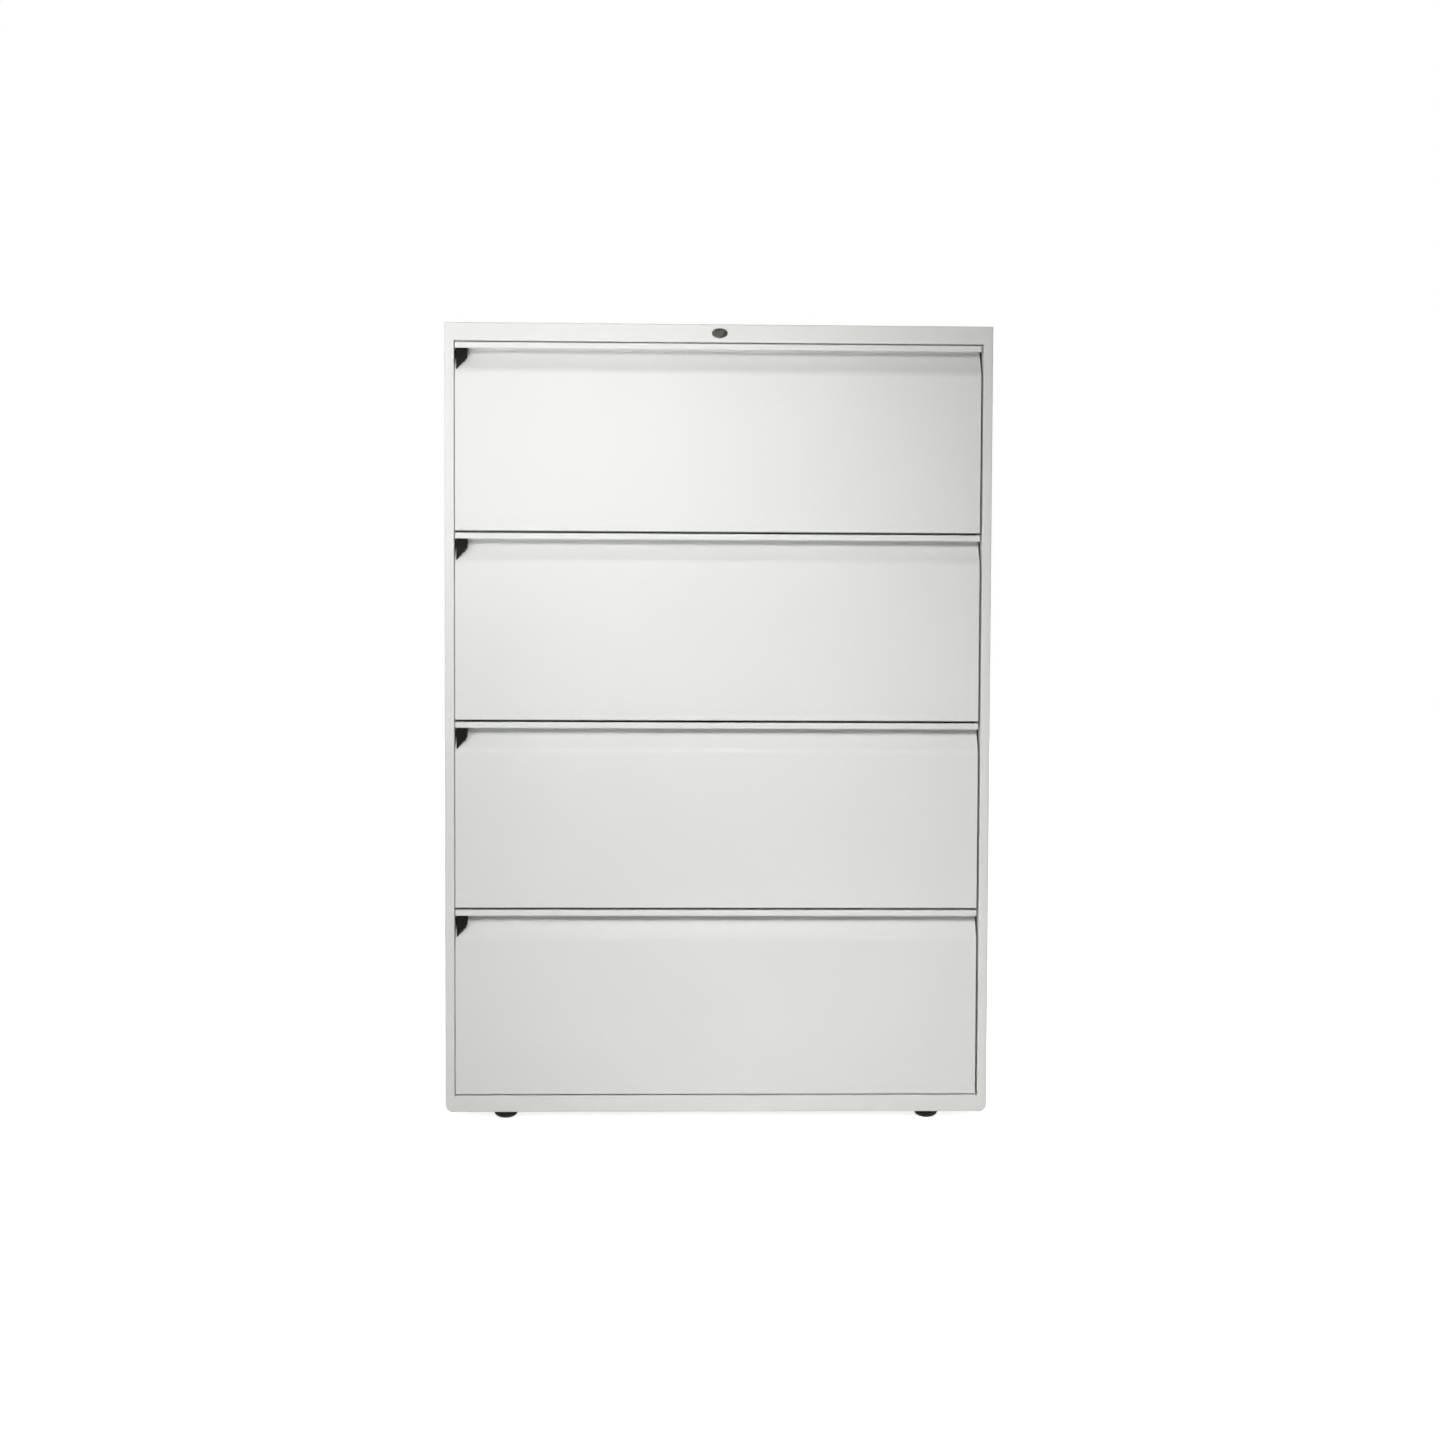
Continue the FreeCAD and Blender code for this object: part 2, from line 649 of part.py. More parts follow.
for number in range(DRAWERS):
    low = f"lowest_face + {number} * face_pitch + guide_level"
    body = block(f"guide_{number + 1}",
                 ("-wall_inside", f"{bar_middle} + bar_wide / 2 + guide_gap + guide_wall"),
                 ("bar_front - guide_gap - guide_wall",
                  "bar_front + plate_thick + guide_gap + guide_wall"),
                 (low, f"{low} + guide_high"))
    way = block(f"guide_way_{number + 1}",
                (f"{bar_middle} - bar_wide / 2 - guide_gap",
                 f"{bar_middle} + bar_wide / 2 + guide_gap"),
                ("bar_front - guide_gap", "bar_front + plate_thick + guide_gap"),
                (f"{low} - cut_over", f"{low} + guide_high + cut_over"))
    guides.append(cut(f"guide_{number + 1}_open", body, way))
piece("lock_bar_guides", grouped("guide_set", *guides))


def channel(name, web, reach, half_high, level, long):
    """Fold one slide member; its flanges point right for a positive reach, else left."""
    return folded(name, "front",
                  [(f"{web} + ({reach})", f"{level} - ({half_high})"),
                   (web, f"{level} - ({half_high})"),
                   (web, f"{level} + ({half_high})"),
                   (f"{web} + ({reach})", f"{level} + ({half_high})")],
                  [], "slide_sheet" if "-" not in reach else "-slide_sheet",
                  "slide_start", long)


def ball_cage(name, x, low, start):
    """Lay the cage of one row of balls between two races."""
    return block(name, (x, f"{x} + cage_thick"), (start, f"{start} + cage_long"),
                 (low, f"{low} + cage_thick"))


for number in range(DRAWERS):
    # Counted from the top drawer down
    label = str(number + 1)
    level = f"lowest_face + {DRAWERS - 1 - number} * face_pitch"

    # Drawer front: one folded sheet with a full-width pull along its top
    skin = folded(
        f"front_skin_{label}", "side",
        [("front_deep", "0"), ("0", "0"), ("0", "face_high - pull_high"),
         ("recess_back", "face_high - pull_back_high"),
         ("recess_back", "face_high - face_sheet"), ("face_sheet", "face_high - face_sheet"),
         ("face_sheet", "face_high - lip_high + face_sheet"),
         ("face_sheet + hem_gap", "face_high - lip_high + face_sheet"),
         ("face_sheet + hem_gap", "face_high - lip_high + face_sheet + hem_high")],
        ["face_fold", "pull_turn", "pull_back_turn", "face_fold - face_sheet",
         "face_fold - face_sheet", "hem_round", "hem_round"],
        "face_sheet", "-face_half", "2 * face_half")
    cheek = slab(f"front_cheek_{label}", "side",
                 [("0", "0"), ("front_deep", "0"), ("front_deep", "face_high - pull_back_high"),
                  ("recess_back", "face_high - pull_back_high"),
                  ("0", "face_high - pull_high")],
                 ["", "", "", "pull_turn", "face_fold"], "-face_half", "face_sheet")
    stem_slot = block(
        f"stem_slot_{label}",
        ("-face_half + latch_edge + latch_stem_in - latch_travel - keeper_gap",
         "-face_half + latch_edge + latch_stem_in + latch_stem_wide + keeper_gap"),
        ("latch_stem_front - keeper_gap", "latch_stem_front + latch_stem_deep + keeper_gap"),
        ("face_high - latch_stem_drop", "face_high - latch_stem_top"))
    front = fused(f"front_joined_{label}", skin, cheek, mirrored(f"right_cheek_{label}", cheek))
    piece(f"drawer_front_{label}", cut(f"front_slotted_{label}", front, stem_slot), level)

    # Drawer latch: moulded thumb block that fills the left end of the pull
    latch_left = "latch_edge - face_half"
    recess = slab(f"latch_recess_{label}", "side",
                  [("0", "face_high - pull_high"), ("recess_back", "face_high - pull_back_high"),
                   ("recess_back", "face_high - face_sheet"),
                   ("hem_back", "face_high - face_sheet"),
                   ("hem_back", "face_high - lip_high"), ("0", "face_high - lip_high")],
                  ["pull_back_turn", "face_fold - face_sheet", "", "", "", ""],
                  latch_left, "latch_wide")
    recess_face = document.addObject("Part::Offset2D", f"latch_section_{label}")
    recess_face.Source = recess.Base
    recess_face.Join = "Intersection"
    bind(recess_face, Value="-latch_gap")
    recess.Base = recess_face
    thumb = slab(f"latch_thumb_{label}", "front",
                 [(latch_left, "face_high - latch_high"),
                  (f"{latch_left} + latch_toe", "face_high - latch_high"),
                  (f"{latch_left} + latch_wide",
                   "face_high - latch_high + latch_slant_high"),
                  (f"{latch_left} + latch_wide", "face_high"),
                  (latch_left, "face_high")],
                 ["latch_round", "latch_round", "", "", ""], "0", "front_deep")
    tongue = block(f"latch_tongue_{label}",
                   (f"{latch_left} - latch_edge - tongue_proud", f"{latch_left} + latch_edge"),
                   ("tongue_front", "tongue_front + tongue_thick"),
                   ("face_high - tongue_drop - tongue_high", "face_high - tongue_drop"))
    stem_x = f"{latch_left} + latch_stem_in"
    stem = block(f"latch_stem_{label}", (stem_x, f"{stem_x} + latch_stem_wide"),
                 ("latch_stem_front", "latch_stem_front + latch_stem_deep"),
                 ("face_high - latch_stem_drop", "face_high - latch_stem_top"))
    snap = block(f"latch_snap_{label}",
                 (f"{stem_x} - latch_foot_over",
                  f"{stem_x} + latch_stem_wide + latch_foot_over"),
                 ("latch_stem_front - latch_foot_over",
                  "latch_stem_front + latch_stem_deep + latch_foot_over"),
                 ("face_high - latch_stem_drop - latch_foot_high",
                  "face_high - latch_stem_drop"))
    grip = shared(f"latch_grip_{label}", recess, thumb)
    piece(f"drawer_latch_{label}", fused(f"latch_joined_{label}", grip, tongue, stem, snap), level)

    # Drawer body: folded tray with ribbed bottom, rear wall and the wall that closes the front
    ribs = []
    for middle in RIB_SHARES:
        for side, low in ((-1, "tray_lift"), (-1, "under"), (1, "under"), (1, "tray_lift")):
            half = "tray_rib_wide / 2" + (" - tray_rib_edge" if low == "under" else "")
            ribs.append((f"{middle} * tray_half + {side} * ({half})",
                         "tray_lift - tray_rib_deep" if low == "under" else low))
    tray = folded(
        f"tray_{label}", "front",
        [("tray_hem - tray_half", "tray_top"), ("-tray_half", "tray_top"),
         ("-tray_half", "tray_lift"), *ribs, ("tray_half", "tray_lift"),
         ("tray_half", "tray_top"), ("tray_half - tray_hem", "tray_top")],
        ["tray_fold"] * 2 + [""] * len(ribs) + ["tray_fold"] * 2, "-tray_sheet", "front_deep",
        "tray_deep")
    rear = block(f"tray_rear_{label}", ("tray_sheet - tray_half", "tray_half - tray_sheet"),
                 ("front_deep + tray_deep - tray_sheet", "front_deep + tray_deep"),
                 ("tray_lift", "tray_top"))
    wall = block(f"tray_front_{label}", ("wall_inset - face_half", "face_half - wall_inset"),
                 ("front_deep", "front_deep + tray_sheet"), ("0", "face_high - wall_inset"))
    tab = block(f"lock_tab_{label}", ("-tray_half - tab_out", "tray_sheet - tray_half"),
                ("bar_front + plate_thick + tab_gap",
                 "bar_front + 2 * plate_thick + tab_gap"),
                ("tab_level", "tab_level + tab_high"))
    piece(f"drawer_body_{label}", fused(f"body_joined_{label}", tray, rear, wall, tab), level)

    # Hanging rails: inverted channels on the hems of the tray
    rails = [
        folded(f"rail_{end}_{label}", "side",
               [(place, "tray_top"), (place, "tray_top + rail_bar_high"),
                (f"{place} + rail_bar_wide", "tray_top + rail_bar_high"),
                (f"{place} + rail_bar_wide", "tray_top")],
               [], "rail_bar_sheet", "rail_bar_end_gap - tray_half",
               "2 * (tray_half - rail_bar_end_gap)")
        for end, place in (("front", "rail_bar_front"), ("rear", "rear_rail_place"))
    ]
    piece(f"hanging_rails_{label}", grouped(f"rails_{label}", *rails), level)

    # Slides: outer members on the posts, middle members, inner members on the tray
    outer = channel(f"outer_{label}", "-post_face", "outer_reach", "slide_half_high",
                    "slide_level", "slide_long")
    piece(f"slide_outer_members_{label}", both_sides(f"outer_pair_{label}", outer), level)
    middle = channel(f"middle_{label}", "(mid_step - post_face)", "mid_reach", "mid_half_high",
                     "slide_level", "slide_long")
    cages = []
    for side, outer_low, inner_low in (
            ("upper", "mid_half_high + cage_seat",
             "mid_half_high - slide_sheet - cage_seat - cage_thick"),
            ("lower", "-mid_half_high - cage_seat - cage_thick",
             "slide_sheet + cage_seat - mid_half_high")):
        cages.append(ball_cage(
            f"outer_cage_{side}_{label}", "mid_step + mid_reach / 2 - cage_thick / 2 - post_face",
            f"slide_level + {outer_low}", "slide_end - cage_long - cage_end"))
        cages.append(ball_cage(
            f"inner_cage_{side}_{label}", "-tray_half - inner_reach",
            f"slide_level + {inner_low}", "slide_start + cage_end"))
    piece(f"slide_middle_members_{label}",
          both_sides(f"middle_pair_{label}", grouped(f"middle_set_{label}", middle, *cages)),
          level)
    inner = channel(f"inner_{label}", "-tray_half", "-inner_reach", "inner_half_high",
                    "slide_level", "slide_long")
    piece(f"slide_inner_members_{label}", both_sides(f"inner_pair_{label}", inner), level)

document.recompute()
faults = [thing.Name for thing in document.Objects
          if any(word in thing.State for word in ("Invalid", "Error"))]
faults += [placed.Label for placed in pieces
           if placed.Shape.isNull() or not placed.Shape.isValid() or not placed.Shape.Solids]
if faults:
    raise RuntimeError("failed: " + ", ".join(faults))

os.makedirs("parts", exist_ok=True)
for placed in pieces:
    placed.Shape.exportStep(f"parts/{placed.Label}.step")
print(len(pieces), "nodes,", sum(len(placed.Shape.Solids) for placed in pieces), "solids")
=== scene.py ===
"""Looks of a four-drawer lateral storage cabinet in folded, powder-coated sheet steel."""

import math

import bmesh
import bpy
from mathutils import Matrix, Vector


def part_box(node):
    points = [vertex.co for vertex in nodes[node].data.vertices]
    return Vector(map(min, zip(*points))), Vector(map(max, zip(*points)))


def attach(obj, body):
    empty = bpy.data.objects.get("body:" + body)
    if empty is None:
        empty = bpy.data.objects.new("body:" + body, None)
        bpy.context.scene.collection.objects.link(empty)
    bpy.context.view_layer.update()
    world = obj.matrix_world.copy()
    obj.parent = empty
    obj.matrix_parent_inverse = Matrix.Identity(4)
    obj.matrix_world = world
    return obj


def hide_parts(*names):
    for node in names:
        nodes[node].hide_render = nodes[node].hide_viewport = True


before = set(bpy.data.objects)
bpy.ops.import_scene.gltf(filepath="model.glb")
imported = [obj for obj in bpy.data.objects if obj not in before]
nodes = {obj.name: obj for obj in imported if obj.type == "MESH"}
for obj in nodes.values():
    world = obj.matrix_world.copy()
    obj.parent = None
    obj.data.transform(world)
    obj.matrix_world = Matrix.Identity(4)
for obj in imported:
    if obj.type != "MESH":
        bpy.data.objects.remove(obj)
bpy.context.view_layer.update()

# Case panels: two sides, a top, a back and a base, each one sheet of 1 mm cold-rolled steel
# folded in a press brake. They are spot-welded to one shell and powder-coated together, a
# light silver grey.
MM = 0.001
COAT_SILVER = "#DCDDDA"
COAT_TONE = 0.035
COAT_ROUGH = (0.5, 0.56)
PEEL_WAVE = 2.2 * MM
PEEL_DEPTH = 0.012 * MM
FLAKE = 1.6 * MM
CLOUD = 350 * MM
CLOUD_SHARE = 0.6
NOISE_LOW, NOISE_HIGH = 0.3, 0.7
BEND_FACET = math.radians(25)
SAME_POINT = 0.01 * MM


def linear(colour):
    """Turn an sRGB hex colour into the linear one that shaders take."""
    parts = [int(colour[place:place + 2], 16) / 255 for place in (1, 3, 5)]
    return [part / 12.92 if part <= 0.04045 else ((part + 0.055) / 1.055) ** 2.4
            for part in parts] + [1]


def add_node(tree, kind, inputs, **settings):
    """Add a node with its settings; an input that is a socket is linked, else it is a value."""
    node = tree.nodes.new(kind)
    for name, value in settings.items():
        setattr(node, name, value)
    for name, value in inputs.items():
        if isinstance(value, bpy.types.NodeSocket):
            tree.links.new(value, node.inputs[name])
        else:
            node.inputs[name].default_value = value
    return node


def new_finish(name, **surface):
    """Start a finish; the named values are the same all over the surface."""
    material = bpy.data.materials.new(name)
    material.use_nodes = True
    tree = material.node_tree
    shader = tree.nodes["Principled BSDF"]
    for socket, value in surface.items():
        shader.inputs[socket.replace("_", " ")].default_value = value
    place = add_node(tree, "ShaderNodeTexCoord", {}).outputs["Object"]
    return material, tree, shader, place


def ranged(tree, value, low, high):
    """Carry a noise value from its usual range to the one asked for."""
    return add_node(tree, "ShaderNodeMapRange", {
        "Value": value, "From Min": NOISE_LOW, "From Max": NOISE_HIGH, "To Min": low,
        "To Max": high}).outputs[0]


def cloudy(tree, place, size, detail):
    """A soft random pattern whose patches are about the given size."""
    return add_node(tree, "ShaderNodeTexNoise", {"Vector": place, "Scale": 1 / size,
                                                 "Detail": detail}).outputs["Fac"]


def toned(tree, shader, colour, value):
    """Give the shader a colour whose lightness varies."""
    shade = add_node(tree, "ShaderNodeHueSaturation", {"Color": linear(colour), "Value": value})
    tree.links.new(shade.outputs[0], shader.inputs["Base Color"])


def raised(tree, shader, height, depth):
    """Give the shader a relief of the given depth."""
    bump = add_node(tree, "ShaderNodeBump", {"Height": height, "Strength": 1.0,
                                             "Distance": depth})
    tree.links.new(bump.outputs[0], shader.inputs["Normal"])


def powder_coat(name):
    """Sprayed and stoved polyester powder: satin, with a faint orange peel, a fine flake and
    soft clouds of tone, which give a broad soft highlight instead of a sharp one."""
    coat, tree, shader, place = new_finish(name)
    cloud = cloudy(tree, place, CLOUD, detail=2.0)
    flake = cloudy(tree, place, FLAKE, detail=1.0)
    spread = add_node(tree, "ShaderNodeMath", {0: cloud, 1: CLOUD_SHARE}, operation="MULTIPLY")
    both = add_node(tree, "ShaderNodeMath", {0: flake, 1: 1 - CLOUD_SHARE,
                                             2: spread.outputs[0]}, operation="MULTIPLY_ADD")
    toned(tree, shader, COAT_SILVER,
          ranged(tree, both.outputs[0], 1 - COAT_TONE, 1 + COAT_TONE))
    tree.links.new(ranged(tree, cloud, *COAT_ROUGH), shader.inputs["Roughness"])
    raised(tree, shader, cloudy(tree, place, PEEL_WAVE, detail=1.5), PEEL_DEPTH)
    return coat


def bend_tree():
    """Build the nodes that round off the facets of a bend and keep real edges sharp."""
    tree = bpy.data.node_groups.new("soft_bends", "GeometryNodeTree")
    tree.interface.new_socket("Geometry", in_out="INPUT", socket_type="NodeSocketGeometry")
    widest = tree.interface.new_socket("Facet", in_out="INPUT", socket_type="NodeSocketFloat")
    tree.interface.new_socket("Geometry", in_out="OUTPUT", socket_type="NodeSocketGeometry")
    given = add_node(tree, "NodeGroupInput", {}).outputs
    merged = add_node(tree, "GeometryNodeMergeByDistance", {"Geometry": given["Geometry"],
                                                            "Distance": SAME_POINT})
    smooth = add_node(tree, "GeometryNodeSetShadeSmooth", {0: merged.outputs[0],
                                                           "Shade Smooth": True}, domain="FACE")
    turn = add_node(tree, "GeometryNodeInputMeshEdgeAngle", {})
    sharp = add_node(tree, "FunctionNodeCompare", {0: turn.outputs[0], 1: given["Facet"]},
                     data_type="FLOAT", operation="GREATER_THAN")
    edged = add_node(tree, "GeometryNodeSetShadeSmooth", {
        0: smooth.outputs[0], "Selection": sharp.outputs[0], "Shade Smooth": False},
        domain="EDGE")
    add_node(tree, "NodeGroupOutput", {0: edged.outputs[0]})
    return tree, widest.identifier


soft_bends, facet_input = bend_tree()


def kept_flat(piece):
    """Let the large flat faces of a smoothed piece stay flat up to their bends."""
    flats = piece.modifiers.new("flat_faces_stay_flat", "WEIGHTED_NORMAL")
    flats.mode, flats.weight, flats.keep_sharp = "FACE_AREA", 100, True


def finished(material, *names):
    """Give CAD nodes their finish, and smooth shading over the facets of their bends."""
    for name in names:
        mesh = nodes[name].data
        mesh.materials.clear()
        mesh.materials.append(material)
        bends = nodes[name].modifiers.new("soft_bends", "NODES")
        bends.node_group = soft_bends
        bends[facet_input] = BEND_FACET
        kept_flat(nodes[name])


case_coat = powder_coat("satin_powder_coat_case")
finished(case_coat, "left_side_panel", "right_side_panel", "top_panel", "back_panel",
         "base_pan")

# Corner welds: on the front, the stiles butt against the top rail and the base rail. Each
# short joint is filled with weld and dressed flush before painting, so that it doesn't show.
FRONT = -227.5 * MM
HALF_WIDE = 457 * MM
OPENING_HALF = 441 * MM
FOOT_SHOWN = 13 * MM
RAIL_BOTTOM = 1304 * MM
BASE_RAIL_HIGH = 28 * MM
FOLD = 2 * MM
WELD_REACH = 0.4 * MM
WELD_DEEP = 1.2 * MM
WELD_PROUD = 0.01 * MM
SHARP_EDGE = math.radians(30)


def fitted(name, mesh, body, slot, *stands_for):
    """Hang a finished mesh on its body, in place of the CAD nodes that it stands for."""
    made = bpy.data.objects.new(name, mesh)
    bpy.context.scene.collection.objects.link(made)
    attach(made, body)
    if stands_for:
        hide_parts(*stands_for)
    return made


def shaded(form, name, finish, sharp=SHARP_EDGE):
    """Turn a form into a mesh with smooth faces and sharp edges, its faces pointing out."""
    bmesh.ops.recalc_face_normals(form, faces=form.faces)
    for face in form.faces:
        face.smooth = True
    for edge in form.edges:
        edge.smooth = edge.calc_face_angle(math.pi) < sharp
    mesh = bpy.data.meshes.new(name)
    form.to_mesh(mesh)
    form.free()
    mesh.materials.append(finish)
    return mesh


def prism(form, outline, axis, start, end):
    """Add a straight bar; its outline is given in the two directions after its axis."""
    order = [(axis + step) % 3 for step in range(3)]
    rings = []
    for along in (start, end):
        ring = []
        for first, second in outline:
            place = [0, 0, 0]
            place[order[0]], place[order[1]], place[order[2]] = along, first, second
            ring.append(form.verts.new(place))
        rings.append(ring)
    for here in range(len(outline)):
        after = (here + 1) % len(outline)
        form.faces.new((rings[0][here], rings[0][after], rings[1][after], rings[1][here]))
    form.faces.new(rings[0][::-1])
    form.faces.new(rings[1])


welds = bmesh.new()
across = [(FRONT - WELD_PROUD, RAIL_BOTTOM + FOLD + WELD_REACH),
          (FRONT - WELD_PROUD, RAIL_BOTTOM - WELD_REACH),
          (FRONT + WELD_DEEP, RAIL_BOTTOM - WELD_REACH),
          (FRONT + WELD_DEEP, RAIL_BOTTOM + FOLD)]
for side in (-1, 1):
    prism(welds, across, 0, side * (HALF_WIDE - FOLD), side * OPENING_HALF)
    upright = [(side * (OPENING_HALF - WELD_REACH), FRONT - WELD_PROUD),
               (side * (OPENING_HALF + FOLD + WELD_REACH), FRONT - WELD_PROUD),
               (side * (OPENING_HALF + FOLD), FRONT + WELD_DEEP),
               (side * (OPENING_HALF - WELD_REACH), FRONT + WELD_DEEP)]
    prism(welds, upright, 2, FOOT_SHOWN + FOLD, FOOT_SHOWN + BASE_RAIL_HIGH - FOLD)
fitted("corner_welds", shaded(welds, "corner_welds", case_coat), "case", "case_paint")

# Spot welds: rows of shallow round marks, 5 mm across, where the electrodes joined the rear
# flanges to the back panel. The paint covers them, so only the rims catch the light.
WELD_MARK = 2.5 * MM
MARK_PROUD = 0.08 * MM
MARK_SHARES = [(1, 0), (0.85, 1), (0.6, 0.2), (0, 0.1)]
MARK_STEPS = 20
WELD_PITCH = 76 * MM
BACK = 229.5 * MM
SIDE_FLANGE = HALF_WIDE - 8 * MM
SIDE_WELDS = (52 * MM, 1268 * MM)
TOP_FLANGE, BASE_FLANGE = 1320 * MM, 27 * MM
FLANGE_WELDS = (-380 * MM, 380 * MM)


def turned(form, profile, steps, centre=(0, 0, 0)):
    """Turn a profile of radius and height pairs round an upright axis; ends on it are closed."""
    rings = []
    for radius, height in profile:
        if radius == 0:
            rings.append([form.verts.new(Vector(centre) + Vector((0, 0, height)))])
        else:
            rings.append([form.verts.new(Vector(centre) + Vector((
                radius * math.cos(math.tau * step / steps),
                radius * math.sin(math.tau * step / steps), height)))
                for step in range(steps)])
    for low, high in zip(rings, rings[1:]):
        for here in range(steps):
            after = (here + 1) % steps
            corners = [low[here % len(low)], low[after % len(low)],
                       high[after % len(high)], high[here % len(high)]]
            form.faces.new([corner for place, corner in enumerate(corners)
                            if corner not in corners[:place]])


def row_tree():
    """Build the nodes that set a small part out along rows, facing as each row says."""
    tree = bpy.data.node_groups.new("parts_in_rows", "GeometryNodeTree")
    names = {}
    for name, kind in (("Rows", "NodeSocketGeometry"), ("Part", "NodeSocketObject"),
                       ("Pitch", "NodeSocketFloat"), ("Finish", "NodeSocketMaterial")):
        names[name] = tree.interface.new_socket(name, in_out="INPUT",
                                                socket_type=kind).identifier
    tree.interface.new_socket("Geometry", in_out="OUTPUT", socket_type="NodeSocketGeometry")
    given = add_node(tree, "NodeGroupInput", {}).outputs
    lines = add_node(tree, "GeometryNodeMeshToCurve", {0: given["Rows"]})
    spaced = add_node(tree, "GeometryNodeResampleCurve", {
        "Curve": lines.outputs[0], "Length": given["Pitch"]}, mode="LENGTH")
    facing = add_node(tree, "GeometryNodeInputNamedAttribute", {"Name": "facing"},
                      data_type="FLOAT_VECTOR")
    turn = add_node(tree, "FunctionNodeAlignRotationToVector", {"Vector": facing.outputs[0]},
                    axis="Z")
    part = add_node(tree, "GeometryNodeObjectInfo", {"Object": given["Part"]})
    placed = add_node(tree, "GeometryNodeInstanceOnPoints", {
        "Points": spaced.outputs[0], "Instance": part.outputs["Geometry"],
        "Rotation": turn.outputs[0]})
    real = add_node(tree, "GeometryNodeRealizeInstances", {0: placed.outputs[0]})
    coated = add_node(tree, "GeometryNodeSetMaterial", {0: real.outputs[0],
                                                        "Material": given["Finish"]})
    add_node(tree, "NodeGroupOutput", {0: coated.outputs[0]})
    return tree, names


parts_in_rows, row_inputs = row_tree()


def set_out(name, body, slot, pattern, pitch, finish, rows):
    """Set copies of a small part out along rows, each a start, an end and a facing."""
    base = bpy.data.meshes.new(name + "_rows")
    ends = [end for start, stop, _ in rows for end in (start, stop)]
    base.from_pydata(ends, [(2 * row, 2 * row + 1) for row in range(len(rows))], [])
    facing = base.attributes.new("facing", "FLOAT_VECTOR", "POINT")
    for place, entry in enumerate(facing.data):
        entry.vector = rows[place // 2][2]
    holder = bpy.data.objects.new(name + "_rows", base)
    part = bpy.data.objects.new(name + "_part", pattern)
    for made in (holder, part):
        bpy.context.scene.collection.objects.link(made)
    rule = holder.modifiers.new("rows", "NODES")
    rule.node_group = parts_in_rows
    rule[row_inputs["Part"]] = part
    rule[row_inputs["Pitch"]] = pitch
    rule[row_inputs["Finish"]] = finish
    ready = bpy.context.evaluated_depsgraph_get()
    mesh = bpy.data.meshes.new_from_object(holder.evaluated_get(ready))
    for made in (holder, part):
        bpy.data.objects.remove(made)
    return fitted(name, mesh, body, slot)


def weld_mark():
    """One electrode mark: a rim round a shallow dish."""
    mark = bmesh.new()
    turned(mark, [(radius * WELD_MARK, height * MARK_PROUD) for radius, height in MARK_SHARES],
           MARK_STEPS)
    return shaded(mark, "weld_mark", case_coat)


backwards = (0, 1, 0)
weld_rows = [[(x, BACK, z) for z in SIDE_WELDS] for x in (-SIDE_FLANGE, SIDE_FLANGE)]
weld_rows += [[(x, BACK, z) for x in FLANGE_WELDS] for z in (TOP_FLANGE, BASE_FLANGE)]
set_out("spot_welds_back", "case", "case_paint", weld_mark(), WELD_PITCH, case_coat,
        [(start, stop, backwards) for start, stop in weld_rows])

# Posts: two hat channels on each side wall, rolled from 1.5 mm galvanised strip and
# spot-welded to the wall. The slides hook into their slots.
ZINC = "#B4B7B9"
ZINC_PATCH = 22 * MM
ZINC_TONE = (0.92, 1.06)
STRIP_ROUGH = (0.3, 0.42)
ROLL_LINE = 0.9 * MM
ROLL_DEPTH = 0.006 * MM
ROLL_STRETCH = 0.02


def zinc_plate(name, lengthwise, rough=STRIP_ROUGH):
    """Zinc on rolled steel: a cool grey metal with soft cloudy patches and fine lines left by
    the rolls. The lines are drawn twice as coarse as real ones, so that they show."""
    plate, tree, shader, place = new_finish(name, Metallic=1.0)
    cloud = cloudy(tree, place, ZINC_PATCH, detail=3.0)
    toned(tree, shader, ZINC, ranged(tree, cloud, *ZINC_TONE))
    tree.links.new(ranged(tree, cloud, *rough), shader.inputs["Roughness"])
    stretch = [1.0, 1.0, 1.0]
    stretch[lengthwise] = ROLL_STRETCH
    lines = add_node(tree, "ShaderNodeMapping", {"Vector": place, "Scale": stretch})
    raised(tree, shader, cloudy(tree, lines.outputs[0], ROLL_LINE, detail=2.0), ROLL_DEPTH)
    return plate


upright_zinc = zinc_plate("galvanised_strip", lengthwise=2)
finished(upright_zinc, "front_posts", "rear_posts")

# Counterweight: a block of hot-rolled steel, oiled, held to the base by four hexagon screws.
# It keeps the cabinet from tipping when a full drawer is open.
SCALE_BLACK = "#4A4B4D"
SCALE_PATCH = 30 * MM
SCALE_TONE = (0.75, 1.2)
SCALE_ROUGH = (0.62, 0.42)
PIT, PIT_DEPTH = 3 * MM, 0.08 * MM


def hot_rolled(name):
    """Mill scale: blue-black oxide, dull where it is thick, with a faint brown cast."""
    skin, tree, shader, place = new_finish(name, Metallic=0.7)
    patch = cloudy(tree, place, SCALE_PATCH, detail=4.0)
    toned(tree, shader, SCALE_BLACK, ranged(tree, patch, *SCALE_TONE))
    tree.links.new(ranged(tree, patch, *SCALE_ROUGH), shader.inputs["Roughness"])
    raised(tree, shader, cloudy(tree, place, PIT, detail=3.0), PIT_DEPTH)
    return skin


plate_black = hot_rolled("hot_rolled_plate_oiled")
finished(plate_black, "counterweight")

SCREW_ROUGH = (0.22, 0.32)
HEX_HALF = 6.5 * MM
HEX_FOOT, HEX_HIGH, HEX_CROWN = 1.3 * MM, 5.3 * MM, 5.9 * MM
CROWN_SHARE = 0.86
WASHER, WASHER_CROWN = 9 * MM, 7.2 * MM
WASHER_EDGE, WASHER_HIGH = 1.1 * MM, 1.4 * MM
WASHER_STEPS = 32
SCREWS_APART = 440 * MM
SCREW_INSET = 25 * MM


